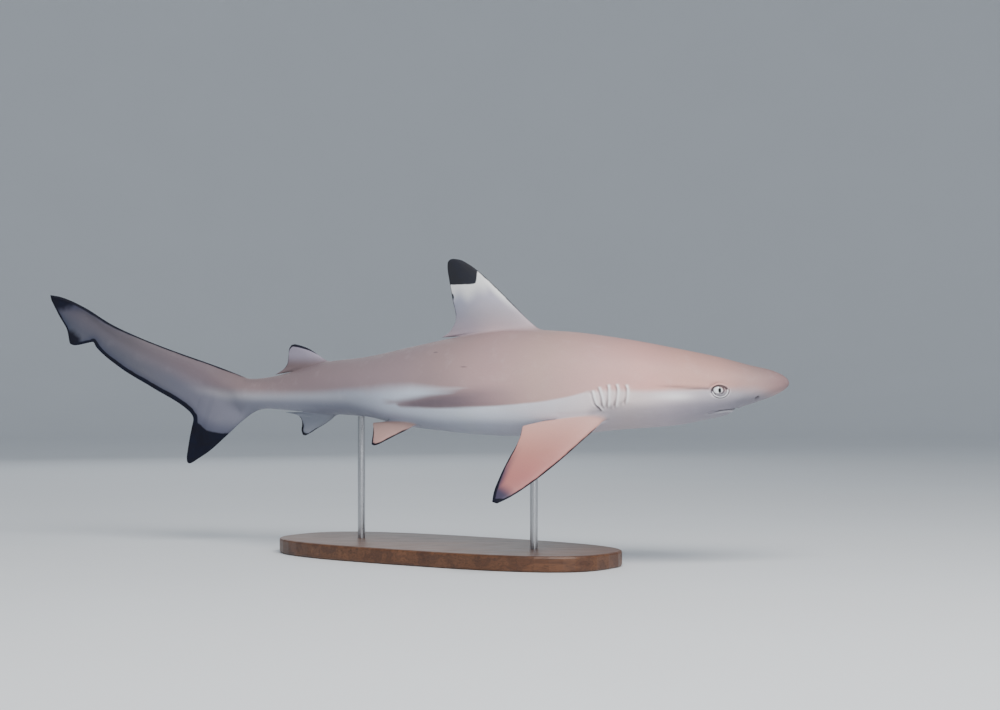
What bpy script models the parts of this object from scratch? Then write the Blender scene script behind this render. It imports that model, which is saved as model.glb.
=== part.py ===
"""Life-size still model of a blacktip reef shark, swimming with its body in a
gentle S-bend, on a plain display stand: a flat wooden base and two steel rods.

Units are metres, +Z is up and the shark faces +X.  The origin is the centre of
the underside of the stand's base, between the two rods.

The shark is laid out along a straight body axis first.  A place on it is given
by its station (distance behind the snout tip), its offset to the animal's left
and its height over the snout tip.  Those and most sizes below are in percent
of the total length, the usual way to write down a shark's proportions.  The
body axis is then bent sideways by the yaw angles in SWIM_YAW.
"""

import bisect
import math

import bmesh
import bpy
from mathutils import Vector
from mathutils.bvhtree import BVHTree

# ---------------------------------------------------------------- dimensions
TOTAL_LENGTH = 1.20          # snout tip to the tip of the tail, along the body
GAP = 0.0003                 # clearance between neighbouring solids
PCT = TOTAL_LENGTH / 100.0

# yaw of the body axis (degrees, + turns the nose to the animal's left)
SWIM_YAW = [(0, 1), (15, -7), (30, -24), (42, -38), (55, -36), (70, -25),
            (82, -9), (100, 4)]

# body profiles: station, height or half width (percent of total length)
BACK = [(0, 0), (0.5, 0.74), (2.2, 1.52), (4.5, 2.05), (8, 2.97), (12.6, 3.93),
        (19.5, 5.2), (26, 6.0), (32, 6.27), (39.4, 5.52), (46.6, 4.4),
        (55, 3.0), (61.5, 2.35), (66.2, 1.22), (70.3, 0.4), (74.5, 0.2)]
BELLY = [(0, 0), (0.5, -0.72), (2.2, -1.62), (4.5, -2.42), (6.2, -3.0),
         (6.9, -3.5), (10.3, -4.37), (13, -4.88), (19.5, -5.43), (26, -6.12),
         (33, -6.33), (43.4, -5.85), (48, -5.45), (55, -4.4), (62, -4.15),
         (68.8, -3.73), (71.7, -3.58), (74.5, -3.55)]
HALF_WIDTH = [(0, 0), (0.5, 1.3), (2, 2.6), (3.5, 3.4), (7.5, 4.7), (10, 5.2),
              (20, 5.9), (27, 6.3), (35, 6.3), (45, 5.7), (50, 5.2),
              (60, 3.8), (70, 2.1), (74.5, 1.6)]
# how square the section is above and below its widest line (2 is an ellipse)
SQUARE_TOP = [(0, 2.1), (8, 2.35), (20, 2.15), (40, 2.0), (100, 2.0)]
SQUARE_BOTTOM = [(0, 2.2), (6, 2.7), (14, 2.8), (25, 2.6), (40, 2.4), (60, 2.1),
                 (100, 2.0)]
WIDEST_AT = 0.46             # height of the widest line within the section

# cuts between the body's pieces
HEAD_END, GILLS_END, FRONT_END, REAR_END = 14.6, 23.5, 42.0, 60.0
STALK_TOP, STALK_BOTTOM = (73.3, 0.1), (71.6, -3.6)   # slanted cut of the tail
MOUTH_FRONT, MOUTH_REAR = (6.3, -3.08), (14.6, -4.92)  # plane of the mouth
AROUND = 28                  # points round a body section

EYE_STATION, EYE_HEIGHT = 8.25, -0.87
EYE_RADIUS = 0.013
EYE_STANDS_OUT = 0.0032      # how far the eyeball stands proud of the cheek
NOSTRIL_STATION, NOSTRIL_HEIGHT = 3.4, -1.75
NOSTRIL_SIZE = (0.0055, 0.004, 0.0022)

GILL_STATIONS = (17.25, 18.35, 19.45, 20.5, 21.4)
GILL_TOPS = (-0.45, -0.3, -0.2, -0.2, -0.35)
GILL_BOTTOMS = (-2.75, -2.95, -3.05, -3.05, -2.85)
GILL_WIDTH, GILL_DEPTH = 0.0016, 0.004

FIN_EDGE = 0.0012            # thickness of the fins' trailing edges
CHORD = (0.0, 0.03, 0.10, 0.22, 0.38, 0.56, 0.75, 0.90, 1.0)

# stand
BASE_LENGTH, BASE_WIDTH, BASE_HEIGHT = 0.56, 0.24, 0.022
BASE_SQUARENESS, BASE_BEVEL = 2.8, 0.003
ROD_DIAMETER = 0.011
ROD_STATIONS = (30.0, 56.0)
SNOUT_HEIGHT = 0.257         # snout tip over the underside of the base


# ---------------------------------------------------------------- functions
def smooth(pairs, warp=lambda x: x):
    """A curve through the pairs that never overshoots them."""
    xs = [warp(p[0]) for p in pairs]
    ys = [p[1] for p in pairs]
    secant = [(ys[i + 1] - ys[i]) / (xs[i + 1] - xs[i]) for i in range(len(xs) - 1)]
    slope = [secant[0]]
    for i in range(1, len(xs) - 1):
        a, b = secant[i - 1], secant[i]
        if a * b <= 0:
            slope.append(0.0)
        else:
            w1 = 2 * (xs[i + 1] - xs[i]) + (xs[i] - xs[i - 1])
            w2 = (xs[i + 1] - xs[i]) + 2 * (xs[i] - xs[i - 1])
            slope.append((w1 + w2) / (w1 / a + w2 / b))
    slope.append(secant[-1])

    def value(x):
        x = min(max(warp(x), xs[0]), xs[-1])
        i = min(max(bisect.bisect_right(xs, x) - 1, 0), len(xs) - 2)
        h = xs[i + 1] - xs[i]
        t = (x - xs[i]) / h
        return (ys[i] * (1 + 2 * t) * (1 - t) ** 2 + slope[i] * h * t * (1 - t) ** 2
                + ys[i + 1] * t * t * (3 - 2 * t) + slope[i + 1] * h * t * t * (t - 1))

    return value


def root(x):
    return math.sqrt(max(x, 0.0))


yaw_at = smooth(SWIM_YAW)
back_at = smooth(BACK, root)
belly_at = smooth(BELLY, root)
half_at = smooth(HALF_WIDTH, root)
square_top_at = smooth(SQUARE_TOP)
square_bottom_at = smooth(SQUARE_BOTTOM)

STEPS = 400
axis_points = [(0.0, 0.0)]
for k in range(STEPS):
    q = math.radians(yaw_at((k + 0.5) * 100.0 / STEPS))
    x, y = axis_points[-1]
    axis_points.append((x - math.cos(q) * TOTAL_LENGTH / STEPS,
                        y - math.sin(q) * TOTAL_LENGTH / STEPS))


def axis_at(station):
    u = min(max(station, 0.0), 100.0) * STEPS / 100.0
    k = min(int(u), STEPS - 1)
    t = u - k
    (x0, y0), (x1, y1) = axis_points[k], axis_points[k + 1]
    return x0 + (x1 - x0) * t, y0 + (y1 - y0) * t


rod_feet = [axis_at(s) for s in ROD_STATIONS]
ORIGIN_X = -(rod_feet[0][0] + rod_feet[1][0]) / 2
ORIGIN_Y = -(rod_feet[0][1] + rod_feet[1][1]) / 2


def bend(station, left, height):
    """Straight layout (station in percent, the rest in metres) to the model."""
    q = math.radians(yaw_at(station))
    x, y = axis_at(station)
    return Vector((ORIGIN_X + x - left * math.sin(q),
                   ORIGIN_Y + y + left * math.cos(q),
                   SNOUT_HEIGHT + height))


def section(station):
    top, bottom, half = back_at(station), belly_at(station), half_at(station)
    middle = bottom + (top - bottom) * WIDEST_AT
    return (top * PCT, bottom * PCT, half * PCT, middle * PCT,
            square_top_at(station), square_bottom_at(station))


def power(value, exponent):
    return math.copysign(abs(value) ** exponent, value)


def section_point(station, angle, grow=0.0):
    top, bottom, half, middle, n_top, n_bottom = section(station)
    c, s = math.cos(angle), math.sin(angle)
    n = n_top if s >= 0 else n_bottom
    rise = (top - middle if s >= 0 else middle - bottom) + grow
    return (half + grow) * power(c, 2 / n), middle + rise * power(s, 2 / n)


def surface_height(station, left, upper=True):
    """Height of the back or the belly beside the middle line."""
    top, bottom, half, middle, n_top, n_bottom = section(station)
    n = n_top if upper else n_bottom
    share = max(1 - (min(abs(left) / half, 1.0)) ** n, 0.0) ** (1 / n)
    return middle + (top - middle) * share if upper else middle - (middle - bottom) * share


def surface_half(station, height):
    """Half width of the body at a height."""
    top, bottom, half, middle, n_top, n_bottom = section(station)
    if height >= middle:
        part, n = (height - middle) / (top - middle), n_top
    else:
        part, n = (middle - height) / (middle - bottom), n_bottom
    return half * max(1 - min(part, 1.0) ** n, 0.0) ** (1 / n)


# ------------------------------------------------------------------ building
for old in list(bpy.data.objects):
    bpy.data.objects.remove(old, do_unlink=True)

shark = bpy.data.objects.new("shark_pose", None)
stand = bpy.data.objects.new("stand_place", None)
for empty in (shark, stand):
    bpy.context.scene.collection.objects.link(empty)


def material(name, colour, roughness, metallic=0.0):
    mat = bpy.data.materials.get(name)
    if mat is None:
        mat = bpy.data.materials.new(name)
        mat.use_nodes = True
        bsdf = mat.node_tree.nodes["Principled BSDF"]
        bsdf.inputs["Base Color"].default_value = (*colour, 1.0)
        bsdf.inputs["Roughness"].default_value = roughness
        bsdf.inputs["Metallic"].default_value = metallic
        mat.diffuse_color = (*colour, 1.0)
    return mat


def face_outwards(bm):
    bmesh.ops.recalc_face_normals(bm, faces=bm.faces[:])
    if bm.calc_volume(signed=True) < 0:
        bmesh.ops.reverse_faces(bm, faces=bm.faces[:])


def place(name, bm, at, mat, parent, sharp=40.0):
    """Turns a bmesh in model space into an object whose origin is at `at`."""
    face_outwards(bm)
    at = Vector(at)
    for v in bm.verts:
        v.co -= at
    mesh = bpy.data.meshes.new(name)
    bm.to_mesh(mesh)
    bm.free()
    mesh.shade_smooth()
    mesh.set_sharp_from_angle(angle=math.radians(sharp))
    mesh.materials.append(mat)
    obj = bpy.data.objects.new(name, mesh)
    bpy.context.scene.collection.objects.link(obj)
    obj.location = at
    obj.parent = parent
    return obj


def loft(bm, rings, cap_first=True, cap_last=True):
    """Skins closed rings of equal length; a ring of one point is a pole."""
    made = [[bm.verts.new(p) for p in ring] for ring in rings]
    for a, b in zip(made, made[1:]):
        n = max(len(a), len(b))
        for i in range(n):
            j = (i + 1) % n
            if len(a) == 1:
                bm.faces.new((a[0], b[j], b[i]))
            elif len(b) == 1:
                bm.faces.new((a[i], a[j], b[0]))
            else:
                bm.faces.new((a[i], a[j], b[j], b[i]))
    if cap_first and len(made[0]) > 2:
        bm.faces.new(list(reversed(made[0])))
    if cap_last and len(made[-1]) > 2:
        bm.faces.new(made[-1])
    return made


def body_ring(station, count=AROUND, grow=0.0):
    return [(station * PCT, *section_point(station, 2 * math.pi * i / count, grow))
            for i in range(count)]


def spread(first, last, count):
    return [first + (last - first) * k / (count - 1) for k in range(count)]


def straight_body(stations):
    """A piece of the body on the straight axis, as a bmesh."""
    bm = bmesh.new()
    rings = []
    if stations[0] == 0:
        rings.append([(0.0, 0.0, 0.0)])
        stations = stations[1:]
    loft(bm, rings + [body_ring(s) for s in stations])
    return bm


def slice_off(bm, point, normal):
    """Removes what lies on the normal's side of a plane and closes the cut."""
    geom = bm.verts[:] + bm.edges[:] + bm.faces[:]
    cut = bmesh.ops.bisect_plane(bm, geom=geom, plane_co=point, plane_no=normal,
                                 clear_outer=True, dist=1e-7)
    edges = [e for e in cut["geom_cut"] if isinstance(e, bmesh.types.BMEdge)]
    bmesh.ops.contextual_create(bm, geom=edges)


def score(bm, stations):
    """Adds the section lines of the stations to faces that lack them."""
    for s in stations:
        geom = bm.verts[:] + bm.edges[:] + bm.faces[:]
        bmesh.ops.bisect_plane(bm, geom=geom, plane_co=(s * PCT, 0, 0),
                               plane_no=(1, 0, 0), dist=1e-6)


def bend_bmesh(bm):
    for v in bm.verts:
        v.co = bend(v.co.x / PCT, v.co.y, v.co.z)


BACK_SKIN = material("tan_back", (0.42, 0.33, 0.32), 0.35)
FLANK_SKIN = material("grey_flank", (0.34, 0.30, 0.34), 0.35)
JAW_SKIN = material("pale_throat", (0.45, 0.45, 0.50), 0.4)
TAIL_SKIN = material("slate_tail", (0.20, 0.23, 0.29), 0.35)
FIN_SKIN = material("fin_membrane", (0.40, 0.33, 0.34), 0.35)
EYE_GLASS = material("eye_glass", (0.55, 0.53, 0.48), 0.08)
WOOD = material("walnut", (0.16, 0.075, 0.035), 0.4)
STEEL = material("brushed_rod", (0.55, 0.55, 0.56), 0.3, 1.0)

# --- body pieces
half_gap = GAP / 2 / PCT
head_stations = [0, 0.08, 0.4, 1.0, 2.0, 3.3, 4.8, 6.2, 6.9, 8.2, 10.0, 12.3,
                 HEAD_END - half_gap]

mouth_slope = (MOUTH_REAR[1] - MOUTH_FRONT[1]) / (MOUTH_REAR[0] - MOUTH_FRONT[0])
mouth_normal = Vector((-mouth_slope, 0, 1)).normalized()
mouth_point = Vector((MOUTH_FRONT[0] * PCT, 0, MOUTH_FRONT[1] * PCT))

bm = straight_body(head_stations)
slice_off(bm, mouth_point + mouth_normal * GAP / 2, -mouth_normal)
score(bm, head_stations[7:-1])
bend_bmesh(bm)
head = place("head", bm, bend(0, 0, 0), BACK_SKIN, shark)

bm = straight_body(head_stations)
slice_off(bm, mouth_point - mouth_normal * GAP / 2, mouth_normal)
score(bm, head_stations[7:-1])
bend_bmesh(bm)
place("lower_jaw", bm, bend(MOUTH_FRONT[0], 0, MOUTH_FRONT[1] * PCT), JAW_SKIN, shark)

bm = straight_body(spread(HEAD_END + half_gap, GILLS_END - half_gap, 5))
bend_bmesh(bm)
gills = place("gill_region", bm, bend(HEAD_END, 0, 0), FLANK_SKIN, shark)

bm = straight_body(spread(GILLS_END + half_gap, FRONT_END - half_gap, 8))
bend_bmesh(bm)
place("trunk_front", bm, bend(GILLS_END, 0, 0), BACK_SKIN, shark)

bm = straight_body(spread(FRONT_END + half_gap, REAR_END - half_gap, 8))
bend_bmesh(bm)
place("trunk_rear", bm, bend(FRONT_END, 0, 0), FLANK_SKIN, shark)

stalk_cut = Vector((STALK_BOTTOM[0] - STALK_TOP[0], 0,
                    STALK_BOTTOM[1] - STALK_TOP[1])).normalized()
stalk_normal = Vector((-stalk_cut.z, 0, stalk_cut.x))      # points to the tail
stalk_point = Vector((STALK_TOP[0] * PCT, 0, STALK_TOP[1] * PCT))
bm = straight_body(spread(REAR_END + half_gap, 74.4, 8))
slice_off(bm, stalk_point - stalk_normal * GAP / 2, stalk_normal)
bend_bmesh(bm)
place("tail_stalk", bm, bend(REAR_END, 0, 0), TAIL_SKIN, shark)

# a finer copy of the whole body, a hair larger, on which the paired fins and
# the rods end
bm = bmesh.new()
loft(bm, [[tuple(p) for p in body_ring(s, 96, GAP * 1.6)]
          for s in spread(2.0, 74.0, 145)])
bend_bmesh(bm)
bm.normal_update()
body_tree = BVHTree.FromBMesh(bm)
bm.free()


def on_body(point, inward):
    """The first place on the enlarged body along a line."""
    hit = body_tree.ray_cast(point - inward * 0.25, inward, 0.5)[0]
    return hit if hit is not None else point


# --- fins
def airfoil(c):
    """Half thickness along the chord, 1 at its thickest."""
    return max((2.969 * math.sqrt(c) - 1.26 * c - 3.516 * c * c + 2.843 * c ** 3
                - 1.015 * c ** 4) * 0.99, 0.0)


def fin(name, leading, trailing, spans, thickness, place_point, root_point, mat,
        at, flare=0.0):
    """A fin from its root to its tip.

    leading and trailing give both edges as (share of span, along, out) in
    percent; thickness gives the greatest thickness in metres; place_point
    turns (along, out, side in metres) into model space; root_point does so
    for the innermost ring, which follows the body.
    """
    lead = [smooth([(p[0], p[i]) for p in leading]) for i in (1, 2)]
    trail = [smooth([(p[0], p[i]) for p in trailing]) for i in (1, 2)]
    thick = smooth(thickness)
    rings = []
    for v in spans:
        le = (lead[0](v), lead[1](v))
        te = (trail[0](v), trail[1](v))
        ring, middle = [], []
        for c in CHORD:
            along = le[0] + (te[0] - le[0]) * c
            out = le[1] + (te[1] - le[1]) * c
            half = airfoil(c) * thick(v) / 2 + FIN_EDGE / 2 * min(c * 4, 1.0)
            half += flare * math.exp(-v / 0.03) * math.sin(math.pi * min(c * 1.02, 1.0))
            ring.append((along, out, half))
            middle.append((along, out, 0.0))
        put = root_point if v == spans[0] else place_point
        rings.append(([put(*p) for p in ring], [put(a, o, -h) for a, o, h in ring],
                      [put(*p) for p in middle]))
    bm = bmesh.new()
    loops = []
    for left, right, _ in rings:
        loops.append([left[0]] + left[1:] + list(reversed(right[1:])))
    made = loft(bm, loops, cap_first=False, cap_last=False)
    n = len(CHORD)
    # tip: a narrow flat face; root: follows the body with a middle line
    tip = made[-1]
    for i in range(1, n - 1):
        a, b = tip[i], tip[i + 1]
        c, d = tip[2 * n - 1 - i - 1], tip[2 * n - 1 - i]
        bm.faces.new((a, b, c, d))
    bm.faces.new((tip[0], tip[1], tip[2 * n - 2]))
    base = made[0]
    mid = [bm.verts.new(p) for p in rings[0][2][1:]]
    for i in range(1, n - 1):
        bm.faces.new((base[i + 1], base[i], mid[i - 1], mid[i]))
        bm.faces.new((mid[i], mid[i - 1], base[2 * n - 1 - i], base[2 * n - 2 - i]))
    bm.faces.new((base[1], base[0], mid[0]))
    bm.faces.new((mid[0], base[0], base[2 * n - 2]))
    bm.faces.new((base[n - 1], mid[-1], base[n]))
    bmesh.ops.remove_doubles(bm, verts=bm.verts[:], dist=1e-6)
    return place(name, bm, at, mat, shark)


def median_point(along, out, side):
    return bend(along, side, out * PCT)


def back_root(along, out, side):
    return bend(along, side, surface_height(along, side) + GAP * 1.5)


def belly_root(along, out, side):
    return bend(along, side, surface_height(along, side, False) - GAP * 1.5)


# first dorsal fin: tall, swept, its rear edge hollow and its free tip close
# over the back
fin("first_dorsal_fin",
    [(0, 29.4, 6.3), (0.08, 30.5, 7.15), (0.25, 32.2, 8.75), (0.5, 35.0, 11.25),
     (0.75, 37.7, 13.35), (0.9, 39.2, 14.25), (1, 40.6, 14.72)],
    [(0, 39.4, 5.6), (0.05, 43.2, 5.35), (0.12, 42.0, 5.95), (0.27, 40.95, 7.7),
     (0.5, 41.45, 9.85), (0.75, 42.0, 12.3), (0.92, 42.2, 14.1), (1, 41.9, 14.6)],
    (0, 0.05, 0.12, 0.26, 0.42, 0.6, 0.78, 0.92, 1.0),
    [(0, 0.019), (0.12, 0.014), (0.5, 0.0085), (1, 0.003)],
    median_point, back_root, FIN_SKIN, bend(29.4, 0, 6.3 * PCT), 0.003)

fin("second_dorsal_fin",
    [(0, 61.3, 2.4), (0.1, 62.1, 2.8), (0.3, 63.0, 3.3), (0.6, 64.4, 4.05),
     (0.85, 65.7, 4.45), (1, 66.5, 4.62)],
    [(0, 66.2, 1.2), (0.07, 69.5, 0.72), (0.2, 68.2, 1.45), (0.4, 67.6, 2.3),
     (0.6, 67.5, 3.1), (0.85, 67.4, 3.95), (1, 67.05, 4.5)],
    (0, 0.07, 0.2, 0.4, 0.6, 0.85, 1.0),
    [(0, 0.010), (0.2, 0.008), (1, 0.0024)],
    median_point, back_root, FIN_SKIN, bend(61.3, 0, 2.4 * PCT), 0.001)

fin("anal_fin",
    [(0, 60.0, -4.2), (0.1, 60.7, -4.8), (0.3, 61.6, -5.35), (0.6, 63.1, -6.1),
     (0.85, 64.3, -6.75), (1, 64.9, -7.0)],
    [(0, 64.4, -4.1), (0.07, 68.0, -4.1), (0.2, 66.2, -4.4), (0.4, 65.5, -5.0),
     (0.6, 65.4, -5.6), (0.85, 65.5, -6.3), (1, 65.3, -6.9)],
    (0, 0.07, 0.2, 0.4, 0.6, 0.85, 1.0),
    [(0, 0.010), (0.2, 0.008), (1, 0.0024)],
    median_point, belly_root, FIN_SKIN, bend(60.0, 0, -4.2 * PCT), 0.001)

# --- tail fin: the upper lobe carries the end of the body in its upper edge
TAIL_TOP = [(0, 73.33, 0.1), (0.12, 75.3, 0.85), (0.3, 78.7, 2.05), (0.36, 79.9, 2.45),
            (0.5, 84.0, 3.85), (0.66, 88.5, 5.6), (0.8, 92.1, 7.3), (0.83, 93.0, 7.85),
            (0.9, 95.0, 9.15), (0.93, 96.2, 9.8), (0.96, 97.6, 10.45),
            (0.98, 98.8, 10.85), (1, 99.9, 11.04)]
TAIL_UNDER = [(0, 71.63, -3.6), (0.12, 74.4, -3.9), (0.3, 81.15, -4.65),
              (0.34, 82.0, -3.8), (0.5, 86.6, -1.0), (0.66, 90.8, 1.55),
              (0.8, 94.0, 4.3), (0.83, 94.4, 4.93), (0.9, 96.7, 4.5),
              (0.93, 97.35, 4.7), (0.96, 97.75, 6.5), (0.98, 98.75, 8.3),
              (1, 99.75, 10.3)]
TAIL_SLICES = (0, 0.06, 0.12, 0.2, 0.3, 0.34, 0.42, 0.5, 0.58, 0.66, 0.74, 0.8,
               0.83, 0.865, 0.9, 0.93, 0.96, 0.98, 1.0)
TAIL_DOWN = (0.0, 0.06, 0.16, 0.3, 0.46, 0.64, 0.82, 1.0)
SPLIT_FRONT, SPLIT_REAR = TAIL_UNDER[0][1:], TAIL_UNDER[2][1:]

core_half = smooth([(0, 1.62), (0.12, 1.25), (0.3, 0.85), (0.5, 0.62), (0.7, 0.42),
                    (0.85, 0.26), (1, 0.14)])
core_reach = smooth([(0, 1.0), (0.12, 0.72), (0.3, 0.42), (0.5, 0.42), (0.7, 0.46),
                     (1, 0.5)])
web_half = smooth([(0, 0.35), (0.3, 0.30), (0.5, 0.2), (0.8, 0.13), (1, 0.08)])


def tail_half(k, share):
    """Half thickness of the upper lobe, share running from its top edge down."""
    reach = core_reach(k)
    u = share / reach * 2 - 1
    core = core_half(k) * math.sqrt(max(1 - u * u, 0.0)) if u < 1 else 0.0
    fade = 1 - 0.6 * max((share - 0.35) / 0.65, 0.0) if k > 0.3 else 1.0
    web = web_half(k) * fade * min(1.0, share * 12)
    return max(math.hypot(core, web) * PCT, 0.0)


split_slope = (SPLIT_REAR[1] - SPLIT_FRONT[1]) / (SPLIT_REAR[0] - SPLIT_FRONT[0])


def split_line(station):
    return SPLIT_FRONT[1] + split_slope * (station - SPLIT_FRONT[0])


tail_top = [smooth([(p[0], p[i]) for p in TAIL_TOP]) for i in (1, 2)]
tail_under = [smooth([(p[0], p[i]) for p in TAIL_UNDER]) for i in (1, 2)]
rings = []
for k in TAIL_SLICES:
    top = (tail_top[0](k), tail_top[1](k))
    low = (tail_under[0](k), tail_under[1](k))
    if k < 0.3:                     # along the joint with the lower lobe
        low = (low[0], split_line(low[0]))
    left, right = [], []
    for d in TAIL_DOWN:
        s = top[0] + (low[0] - top[0]) * d
        z = (top[1] + (low[1] - top[1]) * d) * PCT
        half = tail_half(k, d)
        if d == 1.0 and k > 0.0:
            half = max(half, FIN_EDGE / 2)
        if d == 0.0 or (d == 1.0 and k == 0.0):
            half = max(half, 0.0004)
        left.append(bend(s, half, z))
        right.append(bend(s, -half, z))
    rings.append(left + list(reversed(right)))
bm = bmesh.new()
loft(bm, rings)
place("caudal_upper_lobe", bm, bend(*STALK_TOP[:1], 0, STALK_TOP[1] * PCT), TAIL_SKIN,
      shark)

def split_root(along, out, side):
    return bend(along, side, split_line(along) * PCT - GAP * 1.3)


fin("caudal_lower_lobe",
    [(0, 71.7, -3.7), (0.06, 72.6, -4.1), (0.2, 74.3, -5.3), (0.42, 76.5, -7.2),
     (0.7, 78.9, -9.25), (0.9, 80.5, -10.3), (1, 81.4, -10.8)],
    [(0, 81.1, -4.75), (0.06, 81.1, -5.05), (0.2, 81.35, -6.3), (0.42, 81.6, -7.5),
     (0.7, 81.85, -9.0), (0.9, 82.0, -10.1), (1, 81.9, -10.7)],
    (0, 0.06, 0.2, 0.42, 0.7, 0.9, 1.0),
    [(0, 0.010), (0.2, 0.0075), (1, 0.0024)],
    median_point, split_root, TAIL_SKIN, bend(71.7, 0, -3.7 * PCT))


# --- paired fins: flat blades standing out from the flank and drooping
def paired_fin(name, station, height, side, droop, leading, trailing, spans,
               thickness, sink, aim):
    """aim: how far behind the root's front the blade takes the body's yaw from."""
    q = math.radians(yaw_at(station + aim))
    d = math.radians(droop)
    back = Vector((-math.cos(q), -math.sin(q), 0))
    outward = Vector((-math.sin(q), math.cos(q), 0)) * side
    span = outward * math.cos(d) - Vector((0, 0, math.sin(d)))
    normal = outward * math.sin(d) + Vector((0, 0, math.cos(d)))
    anchor = bend(station, side * (surface_half(station, height * PCT) - sink),
                  height * PCT)

    def blade(along, out, half):
        return anchor + back * along * PCT + span * out * PCT + normal * half

    def at_body(along, out, half):
        return on_body(blade(along, out, half), -span)

    fin(name, leading, trailing, spans, thickness, blade, at_body, FIN_SKIN, anchor)


PECTORAL_LEADING = [(0, 0.1, -0.5), (0.06, 0.7, 0.65), (0.25, 2.7, 3.6),
                    (0.5, 4.9, 6.7), (0.75, 7.35, 9.7), (0.92, 9.45, 11.8),
                    (1, 10.8, 12.8)]
PECTORAL_TRAILING = [(0, 5.2, -0.9), (0.05, 7.6, 0.5), (0.1, 9.8, 1.3),
                     (0.16, 9.78, 2.3), (0.3, 9.95, 3.8), (0.5, 10.6, 6.2),
                     (0.75, 11.2, 9.0), (0.92, 11.5, 11.4), (1, 11.45, 12.6)]
PECTORAL_SPANS = (0, 0.05, 0.1, 0.2, 0.35, 0.5, 0.66, 0.82, 0.93, 1.0)
PECTORAL_THICKNESS = [(0, 0.017), (0.1, 0.014), (0.5, 0.009), (1, 0.003)]
for name, side, droop, aim in (("pectoral_fin_right", -1, 46.0, 1.3),
                               ("pectoral_fin_left", 1, 10.0, 6.0)):
    paired_fin(name, 20.2, -4.05, side, droop, PECTORAL_LEADING, PECTORAL_TRAILING,
               PECTORAL_SPANS, PECTORAL_THICKNESS, 0.001, aim)

PELVIC_LEADING = [(0, 0.0, -0.4), (0.12, 0.6, 0.5), (0.4, 2.1, 1.75),
                  (0.7, 3.4, 2.85), (0.9, 4.2, 3.5), (1, 4.75, 3.75)]
PELVIC_TRAILING = [(0, 3.8, -0.4), (0.1, 7.1, 0.1), (0.25, 6.6, 0.9),
                   (0.5, 6.0, 2.0), (0.8, 5.5, 3.05), (1, 5.2, 3.6)]
for name, side, droop, aim in (("pelvic_fin_right", -1, 45.0, 2.0),
                               ("pelvic_fin_left", 1, 14.0, 4.0)):
    paired_fin(name, 44.1, -5.0, side, droop, PELVIC_LEADING, PELVIC_TRAILING,
               (0, 0.1, 0.25, 0.5, 0.75, 0.92, 1.0),
               [(0, 0.011), (0.2, 0.008), (1, 0.0024)], 0.004, aim)


# --- eyes, nostrils and gill openings
def ball(bm, at, radius, columns, rows):
    made = bmesh.ops.create_uvsphere(bm, u_segments=columns, v_segments=rows,
                                     radius=radius)
    for v in made["verts"]:
        v.co += Vector(at)
    return made["verts"]


def cutter(name, bm, target):
    face_outwards(bm)
    mesh = bpy.data.meshes.new(name)
    bm.to_mesh(mesh)
    bm.free()
    obj = bpy.data.objects.new(name, mesh)
    bpy.context.scene.collection.objects.link(obj)
    obj.hide_render = True
    obj.display_type = "WIRE"
    cut = target.modifiers.new(name, "BOOLEAN")
    cut.operation = "DIFFERENCE"
    cut.solver = "EXACT"
    cut.object = obj
    return obj


cuts = bmesh.new()
for name, side in (("eye_right", -1), ("eye_left", 1)):
    cheek = surface_half(EYE_STATION, EYE_HEIGHT * PCT)
    centre = bend(EYE_STATION, side * (cheek - EYE_RADIUS + EYE_STANDS_OUT),
                  EYE_HEIGHT * PCT)
    bm = bmesh.new()
    ball(bm, centre, EYE_RADIUS, 16, 10)
    place(name, bm, centre, EYE_GLASS, shark)
    ball(cuts, centre, EYE_RADIUS + GAP * 1.5, 16, 10)
    cheek = surface_half(NOSTRIL_STATION, NOSTRIL_HEIGHT * PCT)
    at = bend(NOSTRIL_STATION, side * cheek, NOSTRIL_HEIGHT * PCT)
    turn = Vector((1, 0.55 * side, 0)).normalized()
    across = Vector((-turn.y, turn.x, 0))
    for v in ball(cuts, (0, 0, 0), 1.0, 10, 6):
        x, y, z = v.co
        v.co = (at + turn * x * NOSTRIL_SIZE[0] + across * y * NOSTRIL_SIZE[1]
                + Vector((0, 0, z * NOSTRIL_SIZE[2] + x * 0.0015)))
cutter("head_cuts", cuts, head)

cuts = bmesh.new()
for side in (-1, 1):
    for station, high, low in zip(GILL_STATIONS, GILL_TOPS, GILL_BOTTOMS):
        rings = []
        for k in range(6):
            t = k / 5
            z = high + (low - high) * t
            s = station + 0.42 * math.sin(math.pi * t) * 0.6 - 0.25 * t
            reach = surface_half(s, z * PCT)
            deep = GILL_DEPTH * (0.35 + 0.65 * math.sin(math.pi * (0.1 + 0.8 * t)))
            ring = [(-GILL_WIDTH / 2, reach - deep), (GILL_WIDTH / 2, reach - deep * 0.6),
                    (GILL_WIDTH / 2, reach + 0.004), (-GILL_WIDTH / 2, reach + 0.004)]
            rings.append([bend(s + ds / PCT, side * a, z * PCT) for ds, a in ring])
        loft(cuts, rings)
cutter("gill_cuts", cuts, gills)

# --- stand
run = Vector((rod_feet[0][0] - rod_feet[1][0], rod_feet[0][1] - rod_feet[1][1], 0))
bm = bmesh.new()
outline = []
for k in range(48):
    a = 2 * math.pi * k / 48
    outline.append((BASE_LENGTH / 2 * power(math.cos(a), 2 / BASE_SQUARENESS),
                    BASE_WIDTH / 2 * power(math.sin(a), 2 / BASE_SQUARENESS)))
loft(bm, [[(x, y, 0.0) for x, y in outline], [(x, y, BASE_HEIGHT) for x, y in outline]])
base = place("stand_base", bm, (0, 0, 0), WOOD, stand)
base.rotation_euler = (0, 0, math.atan2(run.y, run.x))
round_over = base.modifiers.new("round_over", "BEVEL")
round_over.width = BASE_BEVEL
round_over.segments = 2
round_over.limit_method = "ANGLE"
round_over.angle_limit = math.radians(60)

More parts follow.
